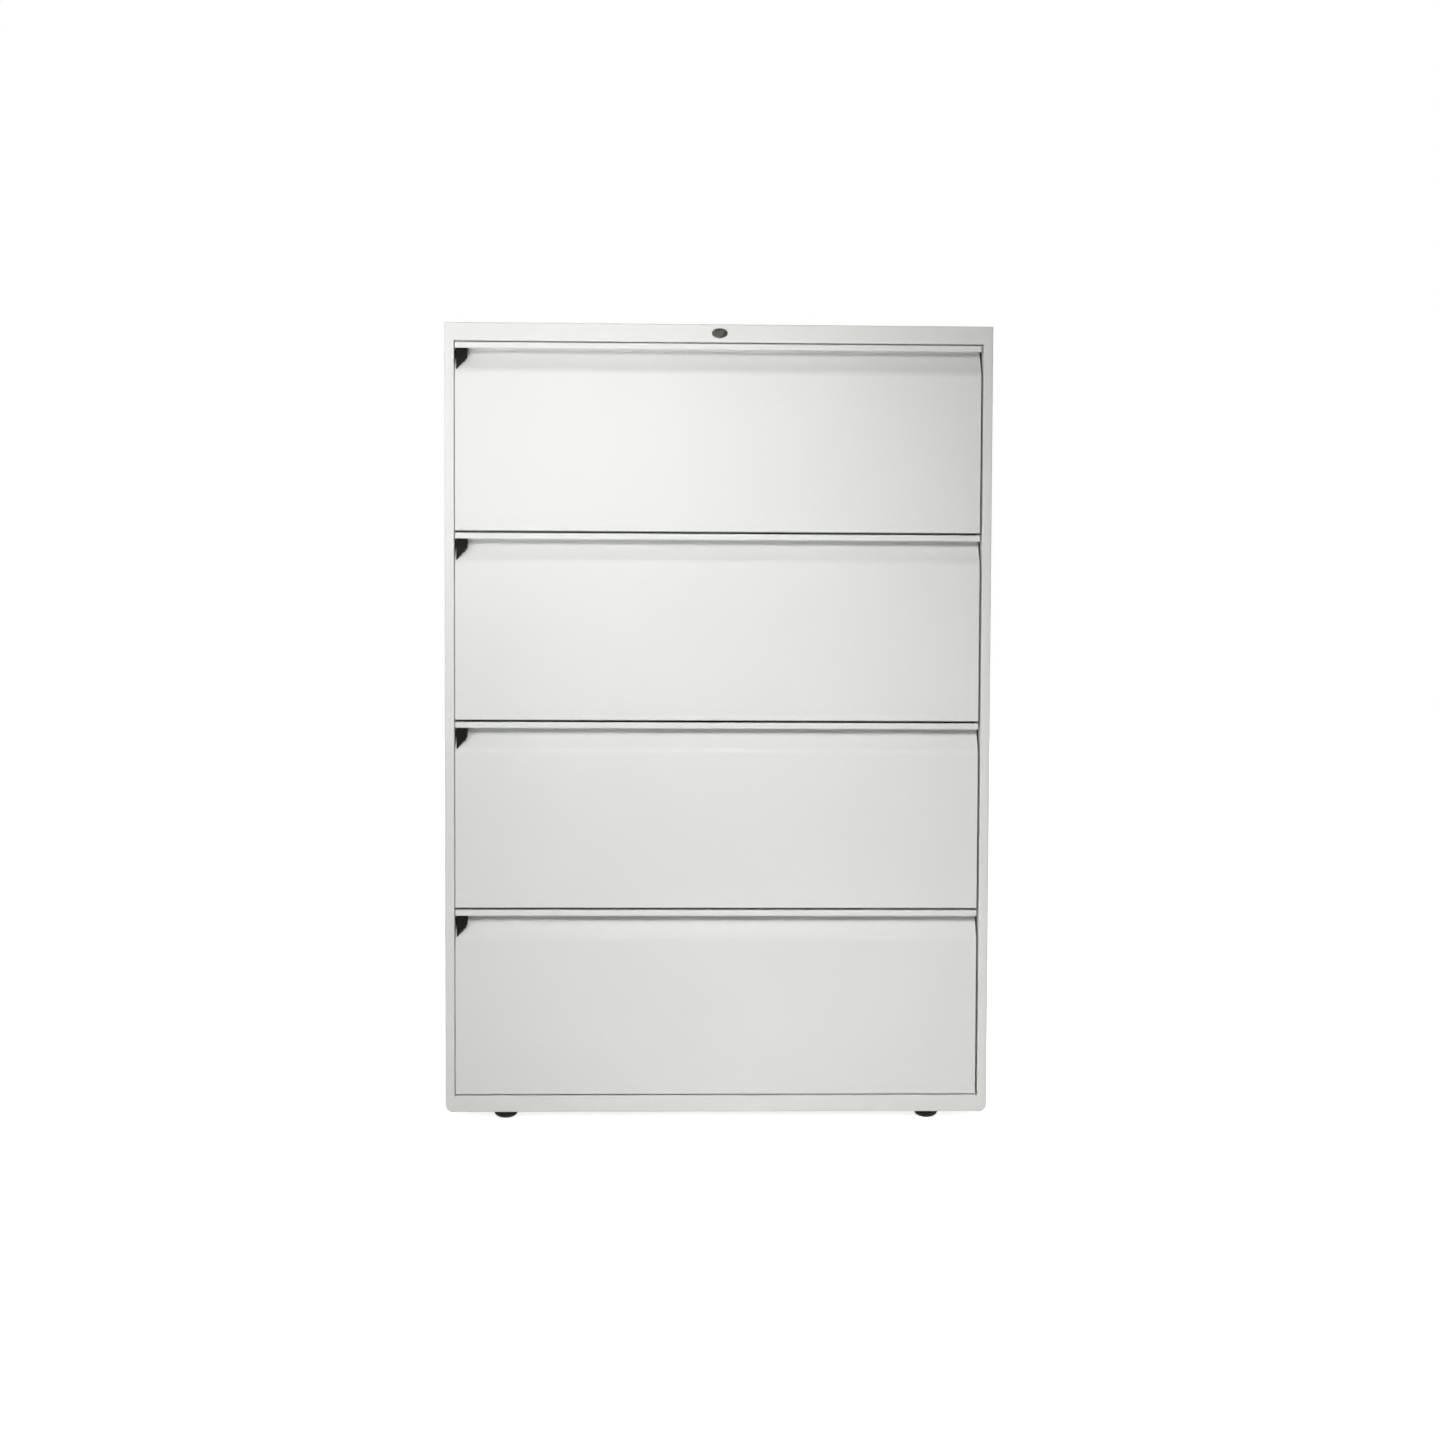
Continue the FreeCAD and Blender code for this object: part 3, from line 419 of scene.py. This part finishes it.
def hex_head():
    """A hexagon head with a washer face and a chamfered crown."""
    head = bmesh.new()
    turned(head, [(0, 0), (WASHER, 0), (WASHER, WASHER_EDGE), (WASHER_CROWN, WASHER_HIGH),
                  (0, WASHER_HIGH)], WASHER_STEPS)
    corner = HEX_HALF / math.cos(math.pi / 6)
    turned(head, [(0, HEX_FOOT), (corner, HEX_FOOT), (corner, HEX_HIGH),
                  (CROWN_SHARE * HEX_HALF, HEX_CROWN), (0, HEX_CROWN)], 6)
    return shaded(head, "hex_head", screw_zinc)


screw_zinc = zinc_plate("bright_zinc_screws", 2, SCREW_ROUGH)
weight_low, weight_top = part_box("counterweight")
weight_rows = [((-SCREWS_APART / 2, y, weight_top.z), (SCREWS_APART / 2, y, weight_top.z),
                (0, 0, 1)) for y in (weight_low.y + SCREW_INSET, weight_top.y - SCREW_INSET)]
set_out("counterweight_screws", "case", "zinc_steel", hex_head(), SCREWS_APART, screw_zinc,
        weight_rows)

# Levelling glides: a domed foot of black nylon moulded on a 3/8 inch zinc-plated screw, which
# runs in a weld nut at each corner of the base.
NYLON_BLACK = "#060607"
NYLON_GRAIN, NYLON_DEPTH = 0.8 * MM, 0.02 * MM
MOULD_PATCH = 18 * MM
MOULD_TONE = (0.85, 1.15)
MOULD_ROUGH = (0.5, 0.6)
STEM_RADIUS = 4.75 * MM
STEM_FOOT, STEM_TOP = 12.2 * MM, 36.7 * MM
THREAD_PITCH = 1.5875 * MM
THREAD_DEPTH = 0.9 * MM
THREAD_FLANK = 3.2
THREAD_STEPS = 24
THREAD_RISE = 0.2 * MM
FOOT_STEPS = 64
FOOT = [(0, 0), (8, 0), (10, 0.3), (13.4, 1.5), (15.9, 2.9), (17.8, 4.5), (19.1, 6.3), (19.8, 8),
        (20.1, 9.6), (20.1, 11.8), (19.8, 12.4), (19.2, 12.7), (0, 12.7)]


def moulded(name, colour, grain, depth):
    """Injection-moulded plastic: near black, with the fine even grain of an eroded mould,
    drawn coarse enough to show. The grain swallows most of the gloss that is left."""
    plastic, tree, shader, place = new_finish(name, Specular_IOR_Level=0.15)
    patch = cloudy(tree, place, MOULD_PATCH, detail=2.0)
    toned(tree, shader, colour, ranged(tree, patch, *MOULD_TONE))
    tree.links.new(ranged(tree, patch, *MOULD_ROUGH), shader.inputs["Roughness"])
    raised(tree, shader, cloudy(tree, place, grain, detail=2.0), depth)
    return plastic


def threaded(form, radius, low, top, centre):
    """Add a screw thread: a closed rod whose radius follows a helix."""
    steps = round((top - low) / THREAD_RISE)
    rings = []
    for row in range(steps + 1):
        height = low + (top - low) * row / steps
        ring = []
        for step in range(THREAD_STEPS):
            phase = (height / THREAD_PITCH - step / THREAD_STEPS) % 1
            crest = min(1, THREAD_FLANK * (0.5 - abs(phase - 0.5)))
            fade = min(1, (top - height) / THREAD_PITCH)
            reach = radius - THREAD_DEPTH * (1 - crest * fade)
            turn = math.tau * step / THREAD_STEPS
            ring.append(form.verts.new(Vector(centre) + Vector((
                reach * math.cos(turn), reach * math.sin(turn), height))))
        rings.append(ring)
    for lower, upper in zip(rings, rings[1:]):
        for step in range(THREAD_STEPS):
            after = (step + 1) % THREAD_STEPS
            form.faces.new((lower[step], lower[after], upper[after], upper[step]))
    form.faces.new(rings[0][::-1])
    form.faces.new(rings[-1])


nylon = moulded("moulded_black_nylon", NYLON_BLACK, NYLON_GRAIN, NYLON_DEPTH)
finished(screw_zinc, "glide_nuts")
for corner in ("front_left", "front_right", "rear_left", "rear_right"):
    low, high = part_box(f"levelling_glide_{corner}")
    centre = ((low.x + high.x) / 2, (low.y + high.y) / 2, 0)
    foot = bmesh.new()
    turned(foot, [(radius * MM, height * MM) for radius, height in FOOT], FOOT_STEPS, centre)
    fitted(f"glide_foot_{corner}", shaded(foot, "glide_foot", nylon), f"glide_{corner}",
           "glide_moulding", f"levelling_glide_{corner}")
    stem = bmesh.new()
    threaded(stem, STEM_RADIUS, STEM_FOOT, STEM_TOP, centre)
    fitted(f"glide_stem_{corner}", shaded(stem, "glide_stem", screw_zinc), f"glide_{corner}",
           "zinc_steel")

# Lock: an oval die-cast plate and a keyed plug in the middle of the top rail, both in dark
# satin nickel. Behind it, zinc-plated barrel, cam, link, bell crank and bar lock all drawers.
NICKEL_DARK = "#45443D"
NICKEL_PATCH = 6 * MM
NICKEL_TONE = (0.9, 1.1)
NICKEL_ROUGH = (0.3, 0.42)
STROKE, STROKE_DEPTH = 0.35 * MM, 0.008 * MM
STROKE_STRETCH = (0.05, 1, 1)
LOCK_LEVEL = 1319 * MM
PLATE_HALF = (13 * MM, 8 * MM)
PLATE_STEPS = 72
PLATE_EDGE = math.radians(50)
PLUG_RADIUS = 5.5 * MM
PLUG_EDGE = 0.35 * MM
PLUG_STEPS = 48
BORE = PLUG_RADIUS + 0.05 * MM


def satin_nickel(name):
    """Black-nickel plate on a zinc casting, brushed: a dark warm grey metal with fine
    scratches and a soft highlight."""
    plate, tree, shader, place = new_finish(name, Metallic=1.0)
    patch = cloudy(tree, place, NICKEL_PATCH, detail=3.0)
    toned(tree, shader, NICKEL_DARK, ranged(tree, patch, *NICKEL_TONE))
    tree.links.new(ranged(tree, patch, *NICKEL_ROUGH), shader.inputs["Roughness"])
    strokes = add_node(tree, "ShaderNodeMapping", {"Vector": place, "Scale": STROKE_STRETCH})
    raised(tree, shader, cloudy(tree, strokes.outputs[0], STROKE, detail=2.0), STROKE_DEPTH)
    return plate


nickel = satin_nickel("dark_satin_nickel")


# How far each ring of the plate lies from the bore, at 0, to the oval rim, at 1, and how proud
# it stands in millimetres: a rounded rim, a flat, a step up and a rounded lip round the bore
PLATE_RINGS = [(1, 0), (1, 1.1), (0.975, 1.45), (0.92, 1.68), (0.84, 1.8), (0.34, 1.8),
               (0.3, 1.86), (0.26, 2), (0.1, 2), (0.03, 1.94), (0, 1.8), (0, 0)]


def oval_ring(form, share, proud):
    """Add one ring of the plate's points."""
    ring = []
    for step in range(PLATE_STEPS):
        turn = math.tau * step / PLATE_STEPS
        half = [BORE + (size - BORE) * share for size in PLATE_HALF]
        ring.append(form.verts.new((half[0] * math.cos(turn), FRONT - proud,
                                    LOCK_LEVEL + half[1] * math.sin(turn))))
    return ring


def joined(form, outer, inner):
    """Close the band between two rings of points."""
    for step in range(len(outer)):
        after = (step + 1) % len(outer)
        form.faces.new((outer[step], outer[after], inner[after], inner[step]))


plate = bmesh.new()
rings = [oval_ring(plate, share, proud * MM) for share, proud in PLATE_RINGS]
for outer, inner in zip(rings, rings[1:] + rings[:1]):
    joined(plate, outer, inner)
fitted("lock_plate", shaded(plate, "lock_plate", nickel, PLATE_EDGE), "case", "lock_nickel",
       "lock_escutcheon")

plug_low, plug_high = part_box("lock_plug")
KEY_HALF_WIDE, KEY_HALF_HIGH = 0.7 * MM, 3.75 * MM
KEY_DEEP = 9 * MM
plug = bmesh.new()
face_rim, face_edge, tail = [], [], []
for step in range(PLUG_STEPS):
    turn = math.tau * step / PLUG_STEPS
    for ring, radius, y in ((face_rim, PLUG_RADIUS - PLUG_EDGE, plug_low.y),
                            (face_edge, PLUG_RADIUS, plug_low.y + PLUG_EDGE),
                            (tail, PLUG_RADIUS, plug_high.y)):
        ring.append(plug.verts.new((radius * math.cos(turn), y,
                                    LOCK_LEVEL + radius * math.sin(turn))))
joined(plug, face_rim, face_edge)
joined(plug, face_edge, tail)
plug.faces.new(tail)
mouth, floor_of_key = [], []
for ring, y in ((mouth, plug_low.y), (floor_of_key, plug_low.y + KEY_DEEP)):
    for x, z in ((1, -1), (1, 1), (-1, 1), (-1, -1)):
        ring.append(plug.verts.new((x * KEY_HALF_WIDE, y, LOCK_LEVEL + z * KEY_HALF_HIGH)))
joined(plug, mouth, floor_of_key)
plug.faces.new(floor_of_key)
quarter = PLUG_STEPS // 4
for here in range(4):
    first = (here * quarter - quarter // 2) % PLUG_STEPS
    fan = [face_rim[(first + step) % PLUG_STEPS] for step in range(quarter + 1)]
    plug.faces.new(fan + [mouth[(here + 1) % 4], mouth[here]])
fitted("keyed_plug", shaded(plug, "keyed_plug", nickel), "lock_plug", "lock_nickel",
       "lock_plug")

flat_zinc = zinc_plate("bright_zinc_plate", lengthwise=0)
finished(flat_zinc, "lock_barrel", "lock_cam", "lock_link", "lock_crank", "crank_bracket")
finished(upright_zinc, "lock_bar", "lock_bar_guides")

# Drawer fronts: one sheet each, folded back along the top to a full-width finger pull with a
# hemmed lip. Their powder coat is the case's, from the same batch. The lip hangs a little lower
# than on the solid, and the ends sit a little to the left, as on the real fronts.
LIP_LONGER = 2.2 * MM
LIP_DEEP = 4.7 * MM
LIP_FOOT = (5.4 * MM, 9 * MM)
ENDS_LEFT = 1.2 * MM
END_FOLD = 1.05 * MM
front_coat = powder_coat("satin_powder_coat_drawers")
for number in range(1, 5):
    low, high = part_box(f"drawer_front_{number}")
    front = bmesh.new()
    front.from_mesh(nodes[f"drawer_front_{number}"].data)
    bmesh.ops.remove_doubles(front, verts=front.verts, dist=SAME_POINT)
    for vert in front.verts:
        down = high.z - vert.co.z
        if vert.co.y < FRONT + LIP_DEEP and LIP_FOOT[0] < down < LIP_FOOT[1]:
            vert.co.z -= LIP_LONGER
        if not low.x + END_FOLD < vert.co.x < high.x - END_FOLD:
            vert.co.x -= ENDS_LEFT
    kept_flat(fitted(f"drawer_face_{number}",
                     shaded(front, "drawer_face", front_coat, BEND_FACET),
                     f"drawer_{number}", "drawer_paint", f"drawer_front_{number}"))

# Drawer bodies: a tray folded from 0.8 mm sheet with ribs in its bottom, painted as the
# fronts, and two rows of four pan-head screws that hold the front to it.
SCREW_HEAD = 4.2 * MM
PAN = [(1, 0), (1, 0.5), (0.94, 1.3), (0.75, 1.9), (0.5, 2.1), (0.2, 1.1), (0, 0.9)]
PAN_STEPS = 16
INNER_WALL = FRONT + 22.8 * MM
SCREW_ROW = 380 * MM
SCREW_PITCH = 2 * SCREW_ROW / 3
SCREW_LEVELS = (45 * MM, 225 * MM)


def pan_head():
    """A pan head with a dished recess; its profile is in shares of the radius and in mm."""
    head = bmesh.new()
    turned(head, [(share * SCREW_HEAD, height * MM) for share, height in PAN], PAN_STEPS)
    return shaded(head, "pan_head", screw_zinc)


for number in range(1, 5):
    finished(front_coat, f"drawer_body_{number}")
    low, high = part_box(f"drawer_front_{number}")
    rows = [((-SCREW_ROW, INNER_WALL, low.z + rise), (SCREW_ROW, INNER_WALL, low.z + rise),
             backwards) for rise in SCREW_LEVELS]
    set_out(f"front_screws_{number}", f"drawer_{number}", "zinc_steel", pan_head(),
            SCREW_PITCH, screw_zinc, rows)

# Hanging rails: inverted channels of zinc-plated strip across the tray, which hanging files
# hook over.
for number in range(1, 5):
    finished(flat_zinc, f"hanging_rails_{number}")

# Telescopic slides: three folded zinc-plated members a side. Balls of hardened steel, held in
# thin pressed cages, run between them.
SLIDE_ROUGH = (0.26, 0.36)
STEEL_BRIGHT = "#C6C8CA"
STEEL_PATCH = 4 * MM
STEEL_TONE = (0.95, 1.03)
STEEL_ROUGH = (0.1, 0.16)
STEEL_DEPTH = 0.002 * MM
BALL = 1.98 * MM
BALL_PITCH = 5.2 * MM
BALL_BANDS, BALL_STEPS = 6, 8
BALL_EDGE = math.radians(60)
CAGE_LONG = 130 * MM
CAGE_BAR = 4.5 * MM
CAGE_SLACK = 1.75 * MM
CAGE_EDGE = 0.3 * MM
CAGE_END = 3 * MM
along_zinc = zinc_plate("bright_zinc_slides", 1, SLIDE_ROUGH)


def hardened_steel(name):
    """Ground and polished bearing steel: a bright, nearly mirror-like grey."""
    steel, tree, shader, place = new_finish(name, Metallic=1.0)
    patch = cloudy(tree, place, STEEL_PATCH, detail=2.0)
    toned(tree, shader, STEEL_BRIGHT, ranged(tree, patch, *STEEL_TONE))
    tree.links.new(ranged(tree, patch, *STEEL_ROUGH), shader.inputs["Roughness"])
    raised(tree, shader, patch, STEEL_DEPTH)
    return steel


def ball():
    """One ball, of a few dozen faces."""
    sphere = bmesh.new()
    turns = [math.pi * band / BALL_BANDS for band in range(1, BALL_BANDS)]
    profile = [(BALL * math.sin(turn), -BALL * math.cos(turn)) for turn in turns]
    turned(sphere, [(0, -BALL)] + profile + [(0, BALL)], BALL_STEPS)
    return shaded(sphere, "ball", ball_steel, BALL_EDGE)


ball_steel = hardened_steel("polished_ball_steel")
for number in range(1, 5):
    finished(along_zinc, f"slide_outer_members_{number}", f"slide_inner_members_{number}")
    members = bmesh.new()
    members.from_mesh(nodes[f"slide_middle_members_{number}"].data)
    bmesh.ops.remove_doubles(members, verts=members.verts, dist=SAME_POINT)
    cages, loose = [], set(members.verts)
    while loose:
        found, edge = set(), {loose.pop()}
        while edge:
            found |= edge
            edge = {link.other_vert(vert) for vert in edge for link in vert.link_edges} - found
        loose -= found
        low = Vector(min(vert.co[way] for vert in found) for way in range(3))
        high = Vector(max(vert.co[way] for vert in found) for way in range(3))
        if high.x - low.x < CAGE_BAR and high.y - low.y < CAGE_LONG + CAGE_BAR:
            cages.append((low, high))
            bmesh.ops.delete(members, geom=list(found), context="VERTS")
    fitted(f"slide_members_{number}", shaded(members, "slide_members", along_zinc),
           f"slide_middle_{number}", "zinc_steel", f"slide_middle_members_{number}")
    strips = bmesh.new()
    rows = []
    for low, high in sorted(cages, key=lambda ends: tuple(ends[0])):
        middle = (low + high) / 2
        under, over = low.z + CAGE_SLACK, high.z - CAGE_SLACK
        near, far = low.x + CAGE_EDGE, high.x - CAGE_EDGE
        prism(strips, [(under, near), (over, near), (over, far), (under, far)], 1, low.y, high.y)
        rows.append(((middle.x, low.y + CAGE_END, middle.z),
                     (middle.x, high.y - CAGE_END, middle.z), (0, 0, 1)))
    fitted(f"ball_cages_{number}", shaded(strips, "ball_cages", along_zinc),
           f"slide_middle_{number}", "zinc_steel")
    set_out(f"balls_{number}", f"slide_middle_{number}", "bare_steel", ball(), BALL_PITCH,
            ball_steel, rows)

# Drawer latches: a black acetal thumb block at the left end of each pull, moulded with
# rounded edges and grip ribs. Slid to the left, its tongue enters the stile. From the shoulder
# down the block narrows to a toe, which here is lower and more pointed than the solid's.
ACETAL_BLACK = "#060607"
ACETAL_GRAIN, ACETAL_DEPTH = 0.5 * MM, 0.012 * MM
LATCH_INSET = 1 * MM
LATCH_ROUND = 0.5 * MM
LATCH_FLAT = math.radians(1)
LATCH_CORNER = math.radians(40)
BLOCK_SHARE, TOE_SHARE = 0.85, 0.25
SHOULDER, TOE = 23 * MM, 44 * MM
TOE_LOWER = 1.6 * MM
TOE_FROM, LIP_SEAT_FROM = 20.5 * MM, 6 * MM
FACE_DEEP, LIP_SEAT_DEEP = 1 * MM, LIP_DEEP + 0.3 * MM
RAMP = 21 / 37
TONGUE_DOWN, TONGUE_BACK = (13 * MM, 27 * MM), (3.9 * MM, 10.1 * MM)
TONGUE_ROOT = 0.1 * MM
STEM_ACROSS, STEM_BACK = 15.1 * MM, 6.9 * MM
RIB_LONG, RIB_HALF, RIB_PROUD = 12 * MM, 0.6 * MM, 0.38 * MM
RIB_ENDS = [(-1, 0.15), (-0.9, 0.8), (-0.75, 1), (0.75, 1), (0.9, 0.8), (1, 0.15)]
RIB_BANDS = 6
RIB_PITCH = 2.8 * MM
RIB_ROW = 11.3 * MM
RIB_FIRST, RIB_BACK, RIB_DOWN = 3 * MM, 0.42 * MM, 18 * MM
acetal = moulded("moulded_black_acetal", ACETAL_BLACK, ACETAL_GRAIN, ACETAL_DEPTH)


def grip_rib():
    """A half-round rib with tapered ends."""
    rib = bmesh.new()
    turns = [math.pi * band / RIB_BANDS for band in range(RIB_BANDS + 1)]
    rings = [[rib.verts.new((share * RIB_HALF * math.cos(turn), along * RIB_LONG / 2,
                             share * RIB_PROUD * math.sin(turn))) for turn in turns]
             for along, share in RIB_ENDS]
    for low, high in zip(rings, rings[1:]):
        joined(rib, low, high)
    rib.faces.new(rings[0][::-1])
    rib.faces.new(rings[-1])
    return shaded(rib, "grip_rib", acetal)


for number in range(1, 5):
    block = bmesh.new()
    block.from_mesh(nodes[f"drawer_latch_{number}"].data)
    bmesh.ops.remove_doubles(block, verts=block.verts, dist=SAME_POINT)
    bmesh.ops.dissolve_limit(block, angle_limit=LATCH_FLAT, verts=block.verts,
                             edges=block.edges)
    low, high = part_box(f"drawer_front_{number}")
    left, top = low.x + LATCH_INSET, high.z
    for vert in block.verts:
        across, down, back = vert.co.x - left, top - vert.co.z, vert.co.y - FRONT
        tongue = (across < TONGUE_ROOT and TONGUE_BACK[0] < back < TONGUE_BACK[1]
                  and TONGUE_DOWN[0] < down < TONGUE_DOWN[1])
        stem = across < STEM_ACROSS and back > STEM_BACK and down > TOE_FROM
        if tongue or stem:
            continue
        share = min(1, max(0, (down - SHOULDER) / (TOE - SHOULDER)))
        vert.co.x = left + across * (BLOCK_SHARE + (TOE_SHARE - BLOCK_SHARE) * share)
        if down > TOE_FROM:
            vert.co.z -= TOE_LOWER
            vert.co.y -= TOE_LOWER * RAMP if back > FACE_DEEP else 0
        elif down > LIP_SEAT_FROM and back < LIP_SEAT_DEEP:
            vert.co.z -= LIP_LONGER
    corners = [edge for edge in block.edges
               if edge.is_convex and edge.calc_face_angle(0) > LATCH_CORNER]
    bmesh.ops.bevel(block, geom=corners, offset=LATCH_ROUND, segments=3, profile=0.5,
                    affect="EDGES", clamp_overlap=True)
    fitted(f"thumb_latch_{number}", shaded(block, "thumb_latch", acetal), f"latch_{number}",
           "latch_moulding", f"drawer_latch_{number}")
    first = Vector((left + RIB_FIRST, FRONT + RIB_BACK, top - RIB_DOWN))
    last = first + Vector((RIB_ROW, 0, 0))
    set_out(f"latch_ribs_{number}", f"latch_{number}", "latch_moulding", grip_rib(), RIB_PITCH,
            acetal, [(first, last, (0, -1, 0))])

# Studio: a pale floor that keeps the shadow, and surroundings that are white to the camera and
# dim in front of the cabinet. A softbox and strips from the left, from above and from below
# give the fronts their slow fall of tone to the right.
FLOOR_PALE = "#F4F4F2"
FLOOR_REACH = 14
FLOOR_STEPS = 96
FLOOR_GLOW = 0.8
ROOM_DIM = 0.05
ROOM_WHITE_FROM = 0.5
WHITE = "#FFFFFF"
floor_mesh = bmesh.new()
bmesh.ops.create_circle(floor_mesh, cap_ends=True, segments=FLOOR_STEPS, radius=FLOOR_REACH)
floor_data = bpy.data.meshes.new("studio_floor")
floor_mesh.to_mesh(floor_data)
floor_mesh.free()
floor = bpy.data.objects.new("studio_floor", floor_data)
bpy.context.scene.collection.objects.link(floor)
paper = bpy.data.materials.new("pale_floor")
paper.use_nodes = True
tree = paper.node_tree
tree.nodes.clear()
path = add_node(tree, "ShaderNodeLightPath", {})
seen = add_node(tree, "ShaderNodeMath", {0: path.outputs["Is Camera Ray"],
                                         1: path.outputs["Is Glossy Ray"]}, operation="MAXIMUM")
seen = add_node(tree, "ShaderNodeMath", {0: seen.outputs[0],
                                         1: path.outputs["Is Transmission Ray"]},
                operation="MAXIMUM")
matt = add_node(tree, "ShaderNodeBsdfDiffuse", {"Color": linear(FLOOR_PALE)})
glow = add_node(tree, "ShaderNodeEmission", {"Color": linear(WHITE), "Strength": FLOOR_GLOW})
both = add_node(tree, "ShaderNodeAddShader", {0: matt.outputs[0], 1: glow.outputs[0]})
mixed = add_node(tree, "ShaderNodeMixShader", {0: seen.outputs[0], 1: matt.outputs[0],
                                               2: both.outputs[0]})
add_node(tree, "ShaderNodeOutputMaterial", {"Surface": mixed.outputs[0]})
floor_data.materials.append(paper)

world = bpy.data.worlds.new("studio_surroundings")
bpy.context.scene.world = world
world.use_nodes = True
tree = world.node_tree
tree.nodes.clear()
path = add_node(tree, "ShaderNodeLightPath", {})
way = add_node(tree, "ShaderNodeTexCoord", {}).outputs["Generated"]
split = add_node(tree, "ShaderNodeSeparateXYZ", {"Vector": way})
sweep = add_node(tree, "ShaderNodeMapRange", {
    "Value": split.outputs["Y"], "From Min": 0.0, "From Max": ROOM_WHITE_FROM,
    "To Min": ROOM_DIM, "To Max": 1.0}, interpolation_type="SMOOTHSTEP")
strength = add_node(tree, "ShaderNodeMath", {0: sweep.outputs[0],
                                             1: path.outputs["Is Camera Ray"]},
                    operation="MAXIMUM")
sky = add_node(tree, "ShaderNodeBackground", {"Color": linear(WHITE),
                                              "Strength": strength.outputs[0]})
add_node(tree, "ShaderNodeOutputWorld", {"Surface": sky.outputs[0]})


def lamp(name, place, aim, wide, high, power, spread=180):
    """Hang a soft lamp, turned towards a point; a grid on it narrows its spread in degrees."""
    data = bpy.data.lights.new(name, "AREA")
    data.shape = "RECTANGLE"
    data.size, data.size_y, data.energy = wide, high, power
    data.spread = math.radians(spread)
    hung = bpy.data.objects.new(name, data)
    bpy.context.scene.collection.objects.link(hung)
    hung.location = place
    hung.rotation_mode = "QUATERNION"
    hung.rotation_quaternion = (Vector(aim) - Vector(place)).to_track_quat("-Z", "Y")
    hung.visible_camera = False


lamp("left_softbox", (-1.2, -1.5, 1.5), (0, -0.23, 0.8), wide=0.8, high=0.8, power=8.5)
lamp("near_softbox", (-0.1, -1.5, 1.8), (-0.1, -0.23, 0.8), wide=0.8, high=0.5, power=4.0)
lamp("floor_strip", (-0.3, -2.6, 0.25), (-0.1, -0.23, 0.8), wide=1.0, high=0.3, power=2.9)
lamp("foot_grid", (0.0, -2.8, 2.0), (0.15, -0.23, 0.2), wide=0.8, high=0.8, power=3.6,
     spread=45)
lamp("low_grid", (-0.7, -2.8, 0.4), (-0.25, -0.23, 1.3), wide=1.0, high=0.6, power=1.15,
     spread=27)

# Camera: at the place that the case's corners and the drawers' joints give, 2.85 m in front of
# the cabinet and level with its third drawer. The focal length is a share of the frame.
SENSOR = 36
FOCAL_SHARE = 1700 / 1440
CAMERA_PLACE = Vector((-0.0614162, -3.0749738, 0.7719329))
YAW, PITCH, ROLL = -0.0225793, -0.0339055, 0.0040505
ahead = Vector((-math.sin(YAW) * math.cos(PITCH), math.cos(YAW) * math.cos(PITCH),
                math.sin(PITCH)))
level = Vector((math.cos(YAW), math.sin(YAW), 0))
above = level.cross(ahead)
right = level * math.cos(ROLL) + above * math.sin(ROLL)
up = above * math.cos(ROLL) - level * math.sin(ROLL)
camera_data = bpy.data.cameras.new("camera")
camera_data.sensor_width = SENSOR
camera_data.lens = FOCAL_SHARE * SENSOR
camera = bpy.data.objects.new("camera", camera_data)
bpy.context.scene.collection.objects.link(camera)
turned_to = Matrix((right, up, -ahead)).transposed().to_4x4()
camera.matrix_world = Matrix.Translation(CAMERA_PLACE) @ turned_to
bpy.context.scene.camera = camera
bpy.context.scene.view_settings.view_transform = "Standard"
